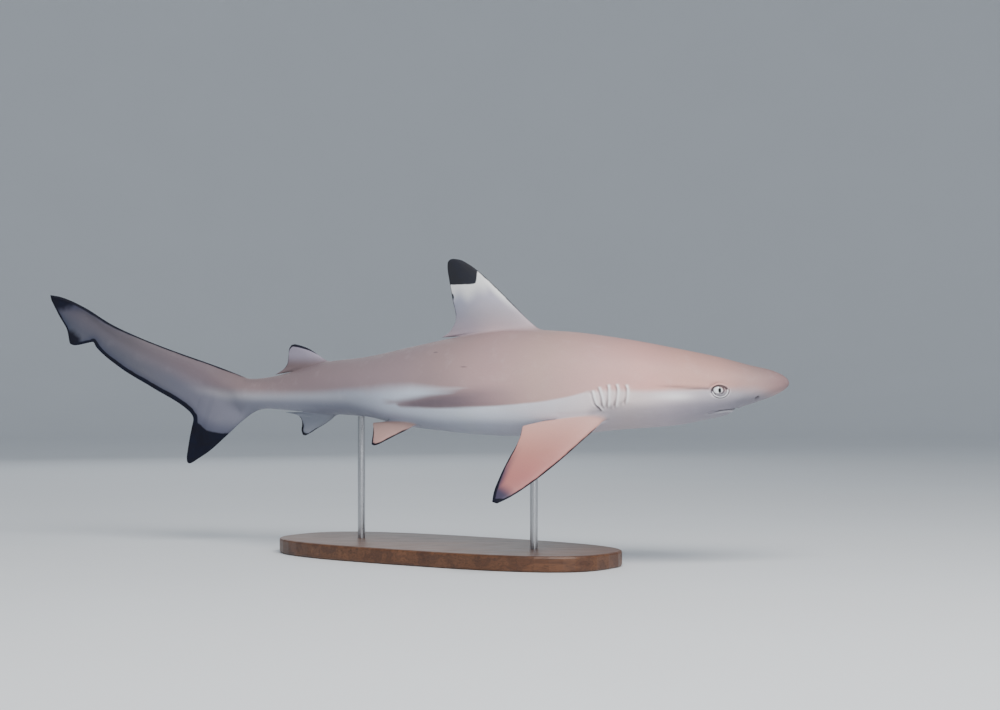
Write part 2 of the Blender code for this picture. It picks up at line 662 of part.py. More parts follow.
for name, (x, y) in zip(("stand_rod_front", "stand_rod_rear"), rod_feet):
    foot = Vector((ORIGIN_X + x, ORIGIN_Y + y, BASE_HEIGHT + GAP))
    bm = bmesh.new()
    low, high = [], []
    for k in range(16):
        a = 2 * math.pi * k / 16
        p = foot + Vector((math.cos(a), math.sin(a), 0)) * ROD_DIAMETER / 2
        low.append(tuple(p))
        hit = body_tree.ray_cast(Vector((p.x, p.y, 0.0)), Vector((0, 0, 1)), 1.0)[0]
        high.append((p.x, p.y, hit.z - GAP))
    made = loft(bm, [low, high], cap_last=False)
    hit = body_tree.ray_cast(Vector((foot.x, foot.y, 0.0)), Vector((0, 0, 1)), 1.0)[0]
    crown = bm.verts.new((foot.x, foot.y, hit.z - GAP))
    for i in range(16):
        bm.faces.new((made[1][i], made[1][(i + 1) % 16], crown))
    place(name, bm, foot, STEEL, stand)
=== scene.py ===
"""Looks of the blacktip reef shark model: one skin, eyes, stand and studio."""
import math

import bmesh
import bpy
import numpy as np
from mathutils import Matrix, Vector


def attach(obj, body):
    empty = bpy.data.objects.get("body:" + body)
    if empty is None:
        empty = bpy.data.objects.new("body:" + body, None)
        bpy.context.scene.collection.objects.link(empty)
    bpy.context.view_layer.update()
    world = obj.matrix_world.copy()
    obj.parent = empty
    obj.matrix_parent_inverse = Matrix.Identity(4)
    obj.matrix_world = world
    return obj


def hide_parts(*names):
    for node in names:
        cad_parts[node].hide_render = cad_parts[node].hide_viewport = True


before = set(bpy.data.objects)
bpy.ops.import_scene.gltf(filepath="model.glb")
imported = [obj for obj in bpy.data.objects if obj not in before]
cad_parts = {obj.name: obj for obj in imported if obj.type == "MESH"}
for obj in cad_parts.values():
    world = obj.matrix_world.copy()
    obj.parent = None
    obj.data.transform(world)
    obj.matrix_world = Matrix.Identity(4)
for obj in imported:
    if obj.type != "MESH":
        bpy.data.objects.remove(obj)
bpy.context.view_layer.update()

# ------------------------------------------------------------- dimensions
# The same named sizes as the solids have.  Stations, heights and half widths
# are percent of the total length, everything else is metres.
TOTAL_LENGTH = 1.20
PCT = TOTAL_LENGTH / 100.0
SWIM_YAW = [(0, 1), (15, -7), (30, -24), (42, -38), (55, -36), (70, -25),
            (82, -9), (100, 4)]
BACK = [(0, 0), (0.5, 0.74), (2.2, 1.52), (4.5, 2.05), (8, 2.97), (12.6, 3.93),
        (19.5, 5.2), (26, 6.0), (32, 6.27), (39.4, 5.52), (46.6, 4.4),
        (55, 3.0), (61.5, 2.35), (66.2, 1.22), (70.3, 0.4), (73.3, 0.1), (74.5, 0.1)]
BELLY = [(0, 0), (0.5, -0.72), (2.2, -1.62), (4.5, -2.42), (6.2, -3.0),
         (6.9, -3.5), (10.3, -4.37), (13, -4.88), (19.5, -5.43), (26, -6.12),
         (33, -6.33), (43.4, -5.85), (48, -5.45), (55, -4.4), (62, -4.15),
         (68.8, -3.73), (71.7, -3.58), (74.5, -3.55)]
HALF_WIDTH = [(0, 0), (0.5, 1.3), (2, 2.6), (3.5, 3.4), (7.5, 4.7), (10, 5.2),
              (20, 5.9), (27, 6.3), (35, 6.3), (45, 5.7), (50, 5.2),
              (60, 3.8), (70, 2.1), (74.5, 1.6)]
SQUARE_TOP = [(0, 2.1), (8, 2.35), (20, 2.15), (40, 2.0), (100, 2.0)]
SQUARE_BOTTOM = [(0, 2.2), (6, 2.7), (14, 2.8), (25, 2.6), (40, 2.4), (60, 2.1),
                 (100, 2.0)]
WIDEST_AT = 0.46
STALK_TOP, STALK_BOTTOM = (73.3, 0.1), (71.6, -3.6)
EYE_STATION, EYE_HEIGHT = 8.25, -0.87
EYE_RADIUS, EYE_STANDS_OUT = 0.013, 0.0032
EYE_WALL = 0.0013                       # from the ball to the hidden wall behind it
ROD_STATIONS = (30.0, 56.0)
SNOUT_HEIGHT = 0.257
FIN_EDGE = 0.0009                       # thickness of a fin's rear edge


def smooth(pairs, warp=None):
    """A curve through the pairs that never overshoots them, for arrays."""
    xs, ys = np.array(pairs, float).T
    if warp:
        xs = warp(xs)
    h = np.diff(xs)
    secant = np.diff(ys) / h
    slope = np.empty(len(xs))
    slope[0], slope[-1] = secant[0], secant[-1]
    for i in range(1, len(xs) - 1):
        a, b = secant[i - 1], secant[i]
        w1, w2 = 2 * h[i] + h[i - 1], h[i] + 2 * h[i - 1]
        slope[i] = 0.0 if a * b <= 0 else (w1 + w2) / (w1 / a + w2 / b)

    def value(x):
        x = np.asarray(x, float)
        x = np.clip(warp(np.maximum(x, 0)) if warp else x, xs[0], xs[-1])
        i = np.clip(np.searchsorted(xs, x, side="right") - 1, 0, len(xs) - 2)
        t = (x - xs[i]) / h[i]
        return (ys[i] * (1 + 2 * t) * (1 - t) ** 2
                + slope[i] * h[i] * t * (1 - t) ** 2
                + ys[i + 1] * t * t * (3 - 2 * t)
                + slope[i + 1] * h[i] * t * t * (t - 1))

    return value


def smooth_line(rows):
    """A table of (share, x, y) as two curves, x and y."""
    return [smooth([(row[0], row[i]) for row in rows]) for i in (1, 2)]


def outline(rows, v0=0.0, v1=1.0, steps=24):
    """Points of such a line, from one share of it to another."""
    v = np.linspace(v0, v1, steps)
    return list(zip(*(curve(v) for curve in smooth_line(rows))))


def through(x, pairs):
    """Straight lines through the pairs."""
    return np.interp(x, *zip(*pairs))


def step(x, low=0.0, high=1.0):
    t = np.clip((x - low) / (high - low), 0, 1)
    return t * t * (3 - 2 * t)


def between(x, a, b, c, d):
    """Rises from a to b and falls from c to d."""
    return step(x, a, b) * (1 - step(x, c, d))


def bell(x, width):
    return np.exp(-(x / width) ** 2)


yaw_at = smooth(SWIM_YAW)
back_at, belly_at = smooth(BACK, np.sqrt), smooth(BELLY, np.sqrt)
half_at = smooth(HALF_WIDTH, np.sqrt)
square_top_at, square_bottom_at = smooth(SQUARE_TOP), smooth(SQUARE_BOTTOM)

STEPS = 400
q = np.radians(yaw_at((np.arange(STEPS) + 0.5) * 100.0 / STEPS))
axis_s = np.linspace(0, 100, STEPS + 1)
axis_x = np.concatenate([[0], -np.cumsum(np.cos(q))]) * TOTAL_LENGTH / STEPS
axis_y = np.concatenate([[0], -np.cumsum(np.sin(q))]) * TOTAL_LENGTH / STEPS
ORIGIN_X = -np.mean(np.interp(ROD_STATIONS, axis_s, axis_x))
ORIGIN_Y = -np.mean(np.interp(ROD_STATIONS, axis_s, axis_y))


def on_axis(s):
    """Place of the body's axis, and the way it points."""
    return np.interp(s, axis_s, axis_x), np.interp(s, axis_s, axis_y), np.radians(yaw_at(s))


def bend(lay):
    """Straight layout in percent (station, left, height) to the model."""
    lay = np.asarray(lay, float)
    s, a, z = lay[..., 0], lay[..., 1] * PCT, lay[..., 2] * PCT
    x, y, yaw = on_axis(s)
    return np.stack([ORIGIN_X + x - a * np.sin(yaw), ORIGIN_Y + y + a * np.cos(yaw),
                     SNOUT_HEIGHT + z], -1)


def unbend(world):
    """The model to the straight layout in percent."""
    x, y = world[..., 0] - ORIGIN_X, world[..., 1] - ORIGIN_Y
    flat = (np.ravel(x)[:, None] - axis_x) ** 2 + (np.ravel(y)[:, None] - axis_y) ** 2
    s = axis_s[np.argmin(flat, 1)].reshape(x.shape)
    for left in (4, 3, 2, 1, 0):
        on_x, on_y, yaw = on_axis(s)
        dx, dy = x - on_x, y - on_y
        if left:
            s = s - (dx * np.cos(yaw) + dy * np.sin(yaw)) / PCT * 0.8
    a = (-dx * np.sin(yaw) + dy * np.cos(yaw)) / PCT
    return np.stack([s, a, (world[..., 2] - SNOUT_HEIGHT) / PCT], -1)


def section(s, z=None, up=None):
    """Half width, the height it is at, rise from there and squareness."""
    top, bottom = back_at(s), belly_at(s)
    middle = bottom + (top - bottom) * WIDEST_AT
    up = z >= middle if up is None else up
    return (half_at(s), middle, np.where(up, top - middle, middle - bottom),
            np.where(up, square_top_at(s), square_bottom_at(s)))


def power(x, e):
    """A power that keeps the sign."""
    return np.sign(x) * np.abs(x) ** e


def ring_point(s, angle):
    """Layout point of the plain body at a station and an angle round it."""
    s, angle = np.broadcast_arrays(np.asarray(s, float), np.asarray(angle, float))
    slant = (STALK_TOP[0] - STALK_BOTTOM[0]) / (STALK_TOP[1] - STALK_BOTTOM[1])
    last = (STALK_TOP[0] + STALK_BOTTOM[0]) / 2
    tilt = step(s, last - 3.4, last) * slant
    at = s
    for _ in range(2):
        half, middle, rise, n = section(at, up=np.sin(angle) >= 0)
        a = half * power(np.cos(angle), 2 / n)
        z = middle + rise * power(np.sin(angle), 2 / n)
        at = s + tilt * (z - (STALK_TOP[1] + STALK_BOTTOM[1]) / 2)
    return np.stack([at, a, z], -1)


def outside(lay):
    """Over 0 outside the plain body, under 0 inside."""
    half, middle, rise, n = section(lay[..., 0], lay[..., 2])
    return ((np.abs(lay[..., 1]) / half) ** n
            + (np.abs(lay[..., 2] - middle) / rise) ** n - 1)


def angle_of(lay):
    half, middle, rise, n = section(lay[..., 0], lay[..., 2])
    return np.arctan2(power((lay[..., 2] - middle) / rise, n / 2),
                      power(lay[..., 1] / half, n / 2))


def half_width_at(s, z):
    half, middle, rise, n = section(s, z)
    part = np.clip(np.abs(z - middle) / rise, 0, 1)
    return half * np.maximum(1 - part ** n, 0) ** (1 / n)


# ------------------------------------------------------------ skin: details
# free edge of each gill flap, as depth under the snout's height and station
GILLS = [[(0.22, 18.2), (0.8, 18.08), (1.6, 18.12), (2.45, 18.3)],
         [(0.17, 19.18), (0.8, 19.06), (1.7, 19.14), (2.85, 19.32)],
         [(0.22, 20.04), (0.9, 20.0), (1.8, 20.0), (2.9, 20.1)],
         [(0.5, 20.98), (1.3, 20.76), (2.0, 20.62), (2.85, 20.52)],
         [(0.9, 21.64), (1.8, 21.46), (2.45, 21.22), (2.7, 20.97), (3.17, 20.62),
          (3.5, 20.38)]]
# the mouth, as station and degrees round from the middle of the belly
MOUTH = [(6.05, 0), (6.1, 11), (6.26, 23), (6.54, 34.5), (7.0, 42.4), (7.6, 46.7),
         (8.2, 48.3), (8.8, 47.7), (9.3, 46)]
MM_PER_DEGREE = 0.77
NOSTRIL = (4.0, -1.66)
MM = PCT * 1000.0                       # millimetres in one percent


def from_line(x, y, line):
    """Distance (mm) to a polyline given in percent."""
    best = np.full(np.shape(x), 1e9)
    for (x0, y0), (x1, y1) in zip(line, line[1:]):
        dx, dy = x1 - x0, y1 - y0
        t = np.clip(((x - x0) * dx + (y - y0) * dy) / max(dx * dx + dy * dy, 1e-12), 0, 1)
        best = np.minimum(best, np.hypot(x - x0 - dx * t, y - y0 - dy * t))
    return best * MM


def under_angle(angle):
    """Degrees round from the middle of the belly."""
    return np.abs(np.mod(np.degrees(angle) + 270, 360) - 180)


def mouth_offset(s, angle):
    """Distance (mm) inside the mouth line, and how far the line has faded."""
    k = MM_PER_DEGREE / MM
    turn = under_angle(angle)
    d = from_line(s, turn * k, [(p[0], p[1] * k) for p in MOUTH])
    inside = (s > MOUTH[0][0]) & (turn < through(s, MOUTH))
    return np.where(inside, d, -d), 1 - 0.8 * step(s, 7.9, 9.0) * step(turn, 20, 40)


def sculpt(lay, angle):
    """Raised and sunk details of the body (mm), and their painted shade and highlights."""
    s, a, z = lay[..., 0], lay[..., 1], lay[..., 2]
    lift, cave, pale = np.zeros((3, *s.shape))
    side = step(np.abs(np.cos(angle)), 0.15, 0.45)
    # gill slits: each flap rises to its free edge and drops into the slit behind
    for flap in GILLS:
        high, low = flap[0][0], flap[-1][0]
        d = (s - smooth(flap)(-z)) * MM
        t = (-z - high) / (low - high)
        ends = between(-z, high - 0.12, high + 0.35, low - 0.4, low + 0.12) * side
        rise = 1.8 * np.exp(np.minimum(d, 0) / 4.0) * (1 - step(d, -0.2, 0.9))
        lift += ends * (rise - 2.5 * bell(d - 1.9, 1.5))
        foot = side * bell(d - 5.3, 3.0) * bell((t - 0.97) * (low - high) * MM, 4.5)
        lift += -0.7 * foot
        # painted shade in each slit and between the flaps' feet
        deep = 0.12 + 0.5 * step(t, 0.45, 0.85)
        cave = np.maximum.reduce([cave, deep * ends * bell(d - 1.9, 1.2), 0.3 * foot])
        # painted highlight on each flap's free edge
        reach = between(-z, high - 0.25, high + 0.05, low - 0.6, low + 0.1)
        pale = np.maximum(pale, reach * side * bell(d + 1.2, 1.9)
                          * (1 - 0.4 * step(t, 0.3, 0.8)))
    # mouth, with painted shade in its groove and a paler band just inside it
    d, shown = mouth_offset(s, angle)
    under = step(-np.sin(angle), 0.25, 0.5)
    shown = shown * under
    lift += shown * (-2.6 * bell(d - 0.4, 1.25) + 0.6 * bell(d + 3.0, 2.4)
                     - 0.5 * bell(d - 3.0, 2.0))
    cave = np.maximum(cave, shown * bell(d - 0.2, 2.3))
    pale = np.maximum(pale, 0.35 * shown * bell(d - 5.0, 2.2))
    # short furrow at the corner of the mouth
    d = (under_angle(angle) - 51.5 - (9.2 - s) * 3) * MM_PER_DEGREE
    ends = between(s, 8.5, 8.9, 9.4, 9.8) * under
    lift += -0.7 * ends * bell(d, 0.9)
    # nostril: an oblique slit with a small flap over its front, and painted shade in the
    # slit
    u = (s - NOSTRIL[0]) * MM
    v = (z - NOSTRIL[1]) * MM
    along, across = u * 0.86 - v * 0.5, u * 0.5 + v * 0.86
    near = step(np.abs(a), 1.5, 2.0)
    hole = np.exp(-(along / 3.0) ** 4 - (across / 1.8) ** 2) * near
    lift += -3.2 * hole + 0.8 * np.exp(-(along / 3.4) ** 2
                                       - ((across - 2.1) / 1.2) ** 2) * near
    cave = np.maximum(cave, hole)
    # brow over the eye, hollow before it and the crease behind it
    brow = step(np.abs(a), 2.0, 3.2)
    lift += 1.3 * brow * bell((s - 8.3) * MM, 17) * bell((z - 0.35) * MM, 7)
    lift += -0.9 * brow * bell((s - 6.1) * MM, 9) * bell((z + 1.0) * MM, 9)
    crease = -0.62 + (s - 9.0) * 0.05
    ends = between(s, 9.1, 9.6, 12.5, 15.5) * brow
    lift += ends * (-0.9 * bell((z - crease) * MM, 1.7)
                    + 0.5 * bell((z - crease - 0.3) * MM, 3.0))
    # painted shade along the crease, partly a dark line of pigment
    cave = np.maximum(cave, 0.6 * ends * bell((z - crease) * MM, 1.3))
    # painted highlight on the cheek under the crease
    pale = np.maximum(pale, 0.75 * between(s, 10.2, 13.2, 13, 16.5) * brow
                      * bell((z + 1.42) * MM, 5.0))
    # cheek and jaw muscle
    lift += 1.2 * side * bell((s - 12.2) * MM, 22) * bell((z + 1.9) * MM, 15)
    # pits before the tail fin
    pit = bell((s - 72.1) * MM, 7.5) * step(np.sin(angle), 0.5, 0.97)
    lift += -1.0 * pit * (1 - step(s, 72.4, 73.3))
    # vent between the pelvic fins, with painted shade in it
    vent = (bell(a * MM, 1.4) * between(s, 45.9, 46.5, 47.6, 48.2)
            * step(-np.sin(angle), 0.8, 0.95))
    lift += -1.1 * vent
    cave = np.maximum(cave, 0.6 * vent)
    return lift, np.stack([cave, pale], -1)


def body_point(s, angle):
    """Sculpted layout points, and the painted shade and highlights of their details."""
    s, angle = np.broadcast_arrays(np.asarray(s, float), np.asarray(angle, float))
    lay = ring_point(s, angle)
    ds = ring_point(s + 0.02, angle) - ring_point(np.maximum(s - 0.02, 0.005), angle)
    da = ring_point(s, angle + 0.004) - ring_point(s, angle - 0.004)
    normal = np.cross(da, ds)
    normal /= np.maximum(np.linalg.norm(normal, axis=-1, keepdims=True), 1e-9)
    outward = np.sum(normal[..., 1:] * np.stack([lay[..., 1],
                     lay[..., 2] - section(lay[..., 0], lay[..., 2])[1]], -1), -1)
    normal *= np.where(outward < 0, -1, 1)[..., None]
    lift, tint = sculpt(lay, angle)
    fade = step(s, 0.5, 1.5)
    return lay + normal * (lift * fade / MM)[..., None], tint


# ------------------------------------------------------------- skin: mesh
BODY, DORSAL, DORSAL2, ANAL, PECTORAL, PELVIC, CAUDAL, LIDS = range(8)
faces, blocks = [], []
count = 0


def add(lay, world=None, kind=BODY, weight=0.0, shade=(0.0, 0.0), local=(0.0, 0.0, 0.0)):
    """Adds vertices and returns their numbers in the given shape."""
    global count
    lay = np.asarray(lay, float)
    shape = lay.shape[:-1]
    n = int(np.prod(shape))
    world = bend(lay) if world is None else np.asarray(world, float)
    blocks.append((world.reshape(-1, 3), lay.reshape(-1, 3), np.full(n, kind),
                   np.broadcast_to(weight, shape).reshape(-1),
                   np.broadcast_to(shade, (*shape, 2)).reshape(-1, 2),
                   np.broadcast_to(local, (*shape, 3)).reshape(-1, 3)))
    ids = np.arange(count, count + n).reshape(shape)
    count += n
    return ids


def so_far(column):
    """One column of all vertices added until now."""
    return np.concatenate([block[column] for block in blocks])


def bridge(first, second):
    """Quads between two closed rings of equal length."""
    n = len(first)
    for i in range(n):
        j = (i + 1) % n
        faces.append((first[i], first[j], second[j], second[i]))


def close_flat(ring):
    """Closes a flat ring that starts at its front, from side to side."""
    n = len(ring)
    for i in range(1, n // 2 - 1):
        faces.append((ring[i], ring[i + 1], ring[n - i - 1], ring[n - i]))
    faces.append((ring[0], ring[1], ring[n - 1]))
    faces.append((ring[n // 2], ring[n // 2 + 1], ring[n // 2 - 1]))


FINE, COARSE = 192, 96                  # points round the head and the trunk
FINE_END = 28.2
CUT = 3                                 # finer cells where details are small
JOIN_BODY, JOIN_TAIL, JOIN_ROUNDS = 7, 15, 30   # rows rounded off where the tail starts
rows = [0.02]
while rows[-1] < FINE_END:
    rows.append(rows[-1] + min(0.2, 0.045 + 0.32 * rows[-1]))
fine_s = np.array(rows) * FINE_END / rows[-1]
tail_start = (STALK_TOP[0] + STALK_BOTTOM[0]) / 2
coarse_s = np.linspace(FINE_END, tail_start, 140)
fine_t = math.tau * np.arange(FINE) / FINE
coarse_t = math.tau * np.arange(COARSE) / COARSE
lay, shade = body_point(fine_s[:, None], fine_t[None, :])
fine_ids = add(lay, shade=shade)
lay, shade = body_point(coarse_s[1:, None], coarse_t[None, :])
coarse_ids = np.vstack([fine_ids[-1, ::2][None, :], add(lay, shade=shade)])
snout = add(np.zeros((1, 3)))[0]
for i in range(FINE):
    faces.append((snout, fine_ids[0, i], fine_ids[0, (i + 1) % FINE]))

holes = {"fine": [], "coarse": []}


def cell_range(kind, s0, s1, a0, a1):
    """Rows and columns of the smallest block that covers a patch."""
    ss, n = (fine_s, FINE) if kind == "fine" else (coarse_s, COARSE)
    r0 = int(np.searchsorted(ss, s0, side="right") - 1)
    r1 = int(np.searchsorted(ss, s1))
    c0 = math.floor(a0 / math.tau * n)
    c1 = math.ceil(a1 / math.tau * n)
    return r0, r1, c0, c1 + (c1 - c0) % 2       # an even number of columns


def hole_loop(kind, r0, r1, c0, c1):
    """Opens a block of cells; its loop starts at the middle of its front."""
    holes[kind].append((r0, r1, c0, c1))
    ids = fine_ids if kind == "fine" else coarse_ids
    n = ids.shape[1]
    mid = (c0 + c1) // 2
    path = [(r0, c) for c in range(mid, c1)] + [(r, c1) for r in range(r0, r1)] \
        + [(r1, c) for c in range(c1, c0, -1)] + [(r, c0) for r in range(r1, r0, -1)] \
        + [(r0, c) for c in range(c0, mid)]
    return np.array([ids[r, c % n] for r, c in path]), c1 - mid, r1 - r0


# --- fins
def airfoil(c):
    """Thickness along the chord, 1 at its greatest."""
    return np.maximum((2.969 * np.sqrt(c) - 1.26 * c - 3.516 * c ** 2
                       + 2.843 * c ** 3 - 1.015 * c ** 4) * 0.99, 0)


def fin_shape(leading, trailing, thickness, front, side):
    """Ring maker: share of span to (along, out, half thickness) round a fin."""
    lead, trail = smooth_line(leading), smooth_line(trailing)
    thick = smooth(thickness)
    m = front * 2 + side                        # steps from front to rear edge,
    k = np.arange(m + 1)                        # closer together at both edges
    c = np.where(k <= front, 0.045 * (k / front) ** 2,
                 np.where(k <= front + side, 0.045 + 0.915 * (k - front) / side,
                          1 - 0.04 * ((m - k) / front) ** 1.5))
    c = np.concatenate([c, c[-2:0:-1]])
    way = np.concatenate([np.ones(m + 1), -np.ones(m - 1)])

    def ring(v, flare=0.0):
        le = (float(lead[0](v)), float(lead[1](v)))
        te = (float(trail[0](v)), float(trail[1](v)))
        blunt = math.sqrt(max(1 - (max(v - 0.93, 0) / 0.075) ** 2, 0.09))
        rim = np.sqrt(np.clip(1 - (np.maximum(c - 0.96, 0) / 0.04) ** 2, 0, 1))
        half = (airfoil(c) * float(thick(v)) / 2 * rim
                + FIN_EDGE / 2 * np.minimum(c * 4, 1) * rim) * blunt
        half = half + flare * np.sin(math.pi * np.minimum(c * 1.02, 1)) * rim
        half[[0, m]] = 0.0
        return (le[0] + (te[0] - le[0]) * c, le[1] + (te[1] - le[1]) * c,
                half * way, way * (half > 1e-5))

    return ring


def grow_fin(kind, loop, foot, ring, blade, start, steps, turn, flare=0.0):
    """Joins a fin to the hole in the body by a fillet, then adds ring by ring."""
    places, local = [], []
    t = np.linspace(0, 1, steps)
    for v in start + (1 - start) * (1 - (1 - t) ** 1.15):
        along, out, half, way = ring(v, flare * math.exp(-v / 0.03))
        places.append(blade(along, out, half * turn))
        local.append(np.stack([along, out, way * turn], -1))
    edge, last = so_far(0)[loop], loop
    for t in (0.1, 0.2, 0.32, 0.45, 0.58, 0.72, 0.86):
        world = (1 - t) ** 2 * edge + 2 * t * (1 - t) * foot + t * t * places[0]
        ids = add(unbend(world), world, kind, weight=t, local=local[0])
        bridge(last, ids)
        last = ids
    for place, loc in zip(places, local):
        ids = add(unbend(place), place, kind, weight=1.0, local=loc)
        bridge(last, ids)
        last = ids
    close_flat(last)


def median_fin(kind, thickness, upper, flare, start, steps):
    """A fin on the middle of the back or of the belly."""
    leading, trailing = EDGES[kind]
    middle = COARSE // 4 if upper else 3 * COARSE // 4
    r0, r1, _, _ = cell_range("coarse", leading[0][1] - 0.45, trailing[0][1] + 0.45, 0, 1)
    loop, front, side = hole_loop("coarse", r0, r1, middle - 4, middle + 4)
    ring = fin_shape(leading, trailing, thickness, front, side)
    # the loop runs to growing angles first: the right side on the back, the
    # left side under the belly
    turn = -1.0 if upper else 1.0
    along, out, half, way = ring(0.0, flare)
    left = half * turn / PCT
    wide, middle_z, rise, n = section(along, up=upper)
    z = middle_z - turn * rise * np.maximum(1 - (np.abs(left) / wide) ** n, 0) ** (1 / n)
    grow_fin(kind, loop, bend(np.stack([along, left, z], -1)), ring,
             lambda along, out, half: bend(np.stack([along, half / PCT, out], -1)),
             start, steps, turn, flare)


def paired_fin(kind, block, station, height, side, droop, aim, sink, thickness, start,
               steps):
    """A fin on one side, that droops (degrees) and turns with the body at `aim`."""
    leading, trailing = EDGES[kind]
    yaw, d = math.radians(float(yaw_at(station + aim))), math.radians(droop)
    back = np.array([-math.cos(yaw), -math.sin(yaw), 0])
    outward = np.array([-math.sin(yaw), math.cos(yaw), 0]) * side
    span = outward * math.cos(d) - np.array([0, 0, math.sin(d)])
    normal = outward * math.sin(d) + np.array([0, 0, math.cos(d)])
    anchor = bend([station, side * (half_width_at(station, height) - sink / PCT), height])

    def blade(along, out, half):
        return (anchor + np.multiply.outer(along * PCT, back)
                + np.multiply.outer(out * PCT, span) + np.multiply.outer(half, normal))

    def on_body(along, out, half):
        low, high = np.full(along.shape, -7.0), np.full(along.shape, 4.0)
        for _ in range(30):
            mid = (low + high) / 2
            inside = outside(unbend(blade(along, out + mid, half))) < 0
            low, high = np.where(inside, mid, low), np.where(inside, high, mid)
        return blade(along, out + mid, half)

    # first a plain ring, to see where the root meets the body
    lay = unbend(on_body(*fin_shape(leading, trailing, thickness, 6, 24)(0.0)[:3]))
    angle = np.unwrap(angle_of(lay)) if side > 0 else np.mod(angle_of(lay), math.tau)
    pad = 0.006 / 0.07                          # 6 mm as an angle round the body
    r0, r1, c0, c1 = cell_range(block, lay[:, 0].min() - 0.45, lay[:, 0].max() + 0.4,
                                angle.min() - pad, angle.max() + pad)
    loop, front, rowsteps = hole_loop(block, r0, r1, c0, c1)
    ring = fin_shape(leading, trailing, thickness, front, rowsteps)
    # growing angle is up on the left side and down on the right
    turn = 1.0 if side > 0 else -1.0
    along, out, half, way = ring(0.0)
    grow_fin(kind, loop, on_body(along, out, half * turn), ring, blade, start, steps, turn)


# leading and trailing edge of each fin, as share of the edge, place along the body
# (on a paired fin along its root) and height (on a paired fin how far out)
EDGES = {
    DORSAL: (
        [(0, 29.4, 6.3), (0.08, 30.5, 7.15), (0.25, 32.2, 8.75), (0.5, 35.0, 11.25),
         (0.75, 37.7, 13.35), (0.9, 39.3, 14.28), (0.97, 40.4, 14.72), (1, 41.35, 14.84)],
        [(0, 39.4, 5.6), (0.05, 43.2, 5.35), (0.12, 42.0, 5.95), (0.27, 40.95, 7.7),
         (0.5, 41.45, 9.85), (0.75, 42.0, 12.3), (0.92, 42.27, 13.9),
         (0.97, 42.22, 14.45), (1, 41.85, 14.78)]),
    DORSAL2: (
        [(0, 61.3, 2.4), (0.1, 62.1, 2.8), (0.3, 63.0, 3.3), (0.6, 64.4, 4.05),
         (0.85, 65.7, 4.45), (1, 66.5, 4.62)],
        [(0, 66.2, 1.2), (0.07, 69.5, 0.72), (0.2, 68.2, 1.45), (0.4, 67.6, 2.3),
         (0.6, 67.5, 3.1), (0.85, 67.4, 3.95), (1, 67.05, 4.5)]),
    ANAL: (
        [(0, 60.0, -4.2), (0.1, 60.7, -4.8), (0.3, 61.6, -5.35), (0.6, 63.1, -6.1),
         (0.85, 64.3, -6.75), (1, 64.9, -7.0)],
        [(0, 64.4, -4.1), (0.07, 68.0, -4.1), (0.2, 66.2, -4.4), (0.4, 65.5, -5.0),
         (0.6, 65.4, -5.6), (0.85, 65.5, -6.3), (1, 65.3, -6.9)]),
    PECTORAL: (
        [(0, 0.1, -0.5), (0.06, 0.7, 0.65), (0.25, 2.7, 3.6), (0.5, 4.9, 6.7),
         (0.75, 7.35, 9.7), (0.92, 9.45, 11.8), (1, 10.8, 12.8)],
        [(0, 5.2, -0.9), (0.05, 7.6, 0.5), (0.1, 9.8, 1.3), (0.16, 9.78, 2.3),
         (0.3, 9.95, 3.8), (0.5, 10.6, 6.2), (0.75, 11.2, 9.0), (0.92, 11.5, 11.4),
         (1, 11.45, 12.6)]),
    PELVIC: (
        [(0, 0.0, -0.4), (0.12, 0.6, 0.5), (0.4, 2.1, 1.75), (0.7, 3.4, 2.85),
         (0.9, 4.2, 3.5), (1, 4.75, 3.75)],
        [(0, 3.8, -0.4), (0.1, 7.1, 0.1), (0.25, 6.6, 0.9), (0.5, 6.0, 2.0),
         (0.8, 5.5, 3.05), (1, 5.2, 3.6)])}
SMALL_FIN = [(0, 0.010), (0.2, 0.008), (1, 0.0024)]     # thickness, from root to tip
median_fin(DORSAL, [(0, 0.019), (0.12, 0.014), (0.5, 0.0085), (1, 0.003)],
           True, 0.002, 0.05, 40)
median_fin(DORSAL2, SMALL_FIN, True, 0.0008, 0.07, 22)
median_fin(ANAL, SMALL_FIN, False, 0.0008, 0.07, 22)
for side, droop, aim in ((-1, 46.0, 1.3), (1, 10.0, 6.0)):
    paired_fin(PECTORAL, "fine", 20.2, -4.05, side, droop, aim, 0.001,
               [(0, 0.017), (0.1, 0.014), (0.5, 0.009), (1, 0.003)], 0.05, 50)
for side, droop, aim in ((-1, 45.0, 2.0), (1, 14.0, 4.0)):
    paired_fin(PELVIC, "coarse", 44.1, -5.0, side, droop, aim, 0.004,
               [(0, 0.011), (0.2, 0.008), (1, 0.0024)], 0.1, 22)

# --- tail fin: slices between its upper and lower outline
TAIL_TOP = [(0, 73.33, 0.1), (0.12, 75.3, 0.85), (0.3, 78.7, 2.05), (0.36, 79.9, 2.45),
            (0.5, 84.0, 3.85), (0.66, 88.5, 5.6), (0.8, 92.1, 7.3), (0.83, 93.0, 7.85),
            (0.9, 95.0, 9.15), (0.93, 96.2, 9.8), (0.96, 97.6, 10.45),
            (0.98, 98.8, 10.85), (1, 99.9, 11.04)]
TAIL_UNDER = [(0, 71.63, -3.6), (0.02, 72.6, -4.05), (0.06, 74.3, -5.25),
              (0.11, 76.5, -7.15), (0.165, 78.9, -9.2), (0.205, 80.5, -10.25),
              (0.222, 81.3, -10.75), (0.23, 81.62, -10.85), (0.237, 81.92, -10.7),
              (0.245, 82.0, -10.1), (0.258, 81.85, -9.0), (0.272, 81.6, -7.5),
              (0.286, 81.3, -6.1), (0.298, 81.1, -5.05), (0.303, 81.25, -4.6),
              (0.34, 82.0, -3.8), (0.5, 86.6, -1.0), (0.66, 90.8, 1.55),
              (0.8, 94.0, 4.3), (0.83, 94.4, 4.93), (0.9, 96.7, 4.5),
              (0.93, 97.35, 4.7), (0.96, 97.75, 6.5), (0.98, 98.75, 8.3),
              (1, 99.75, 10.3)]
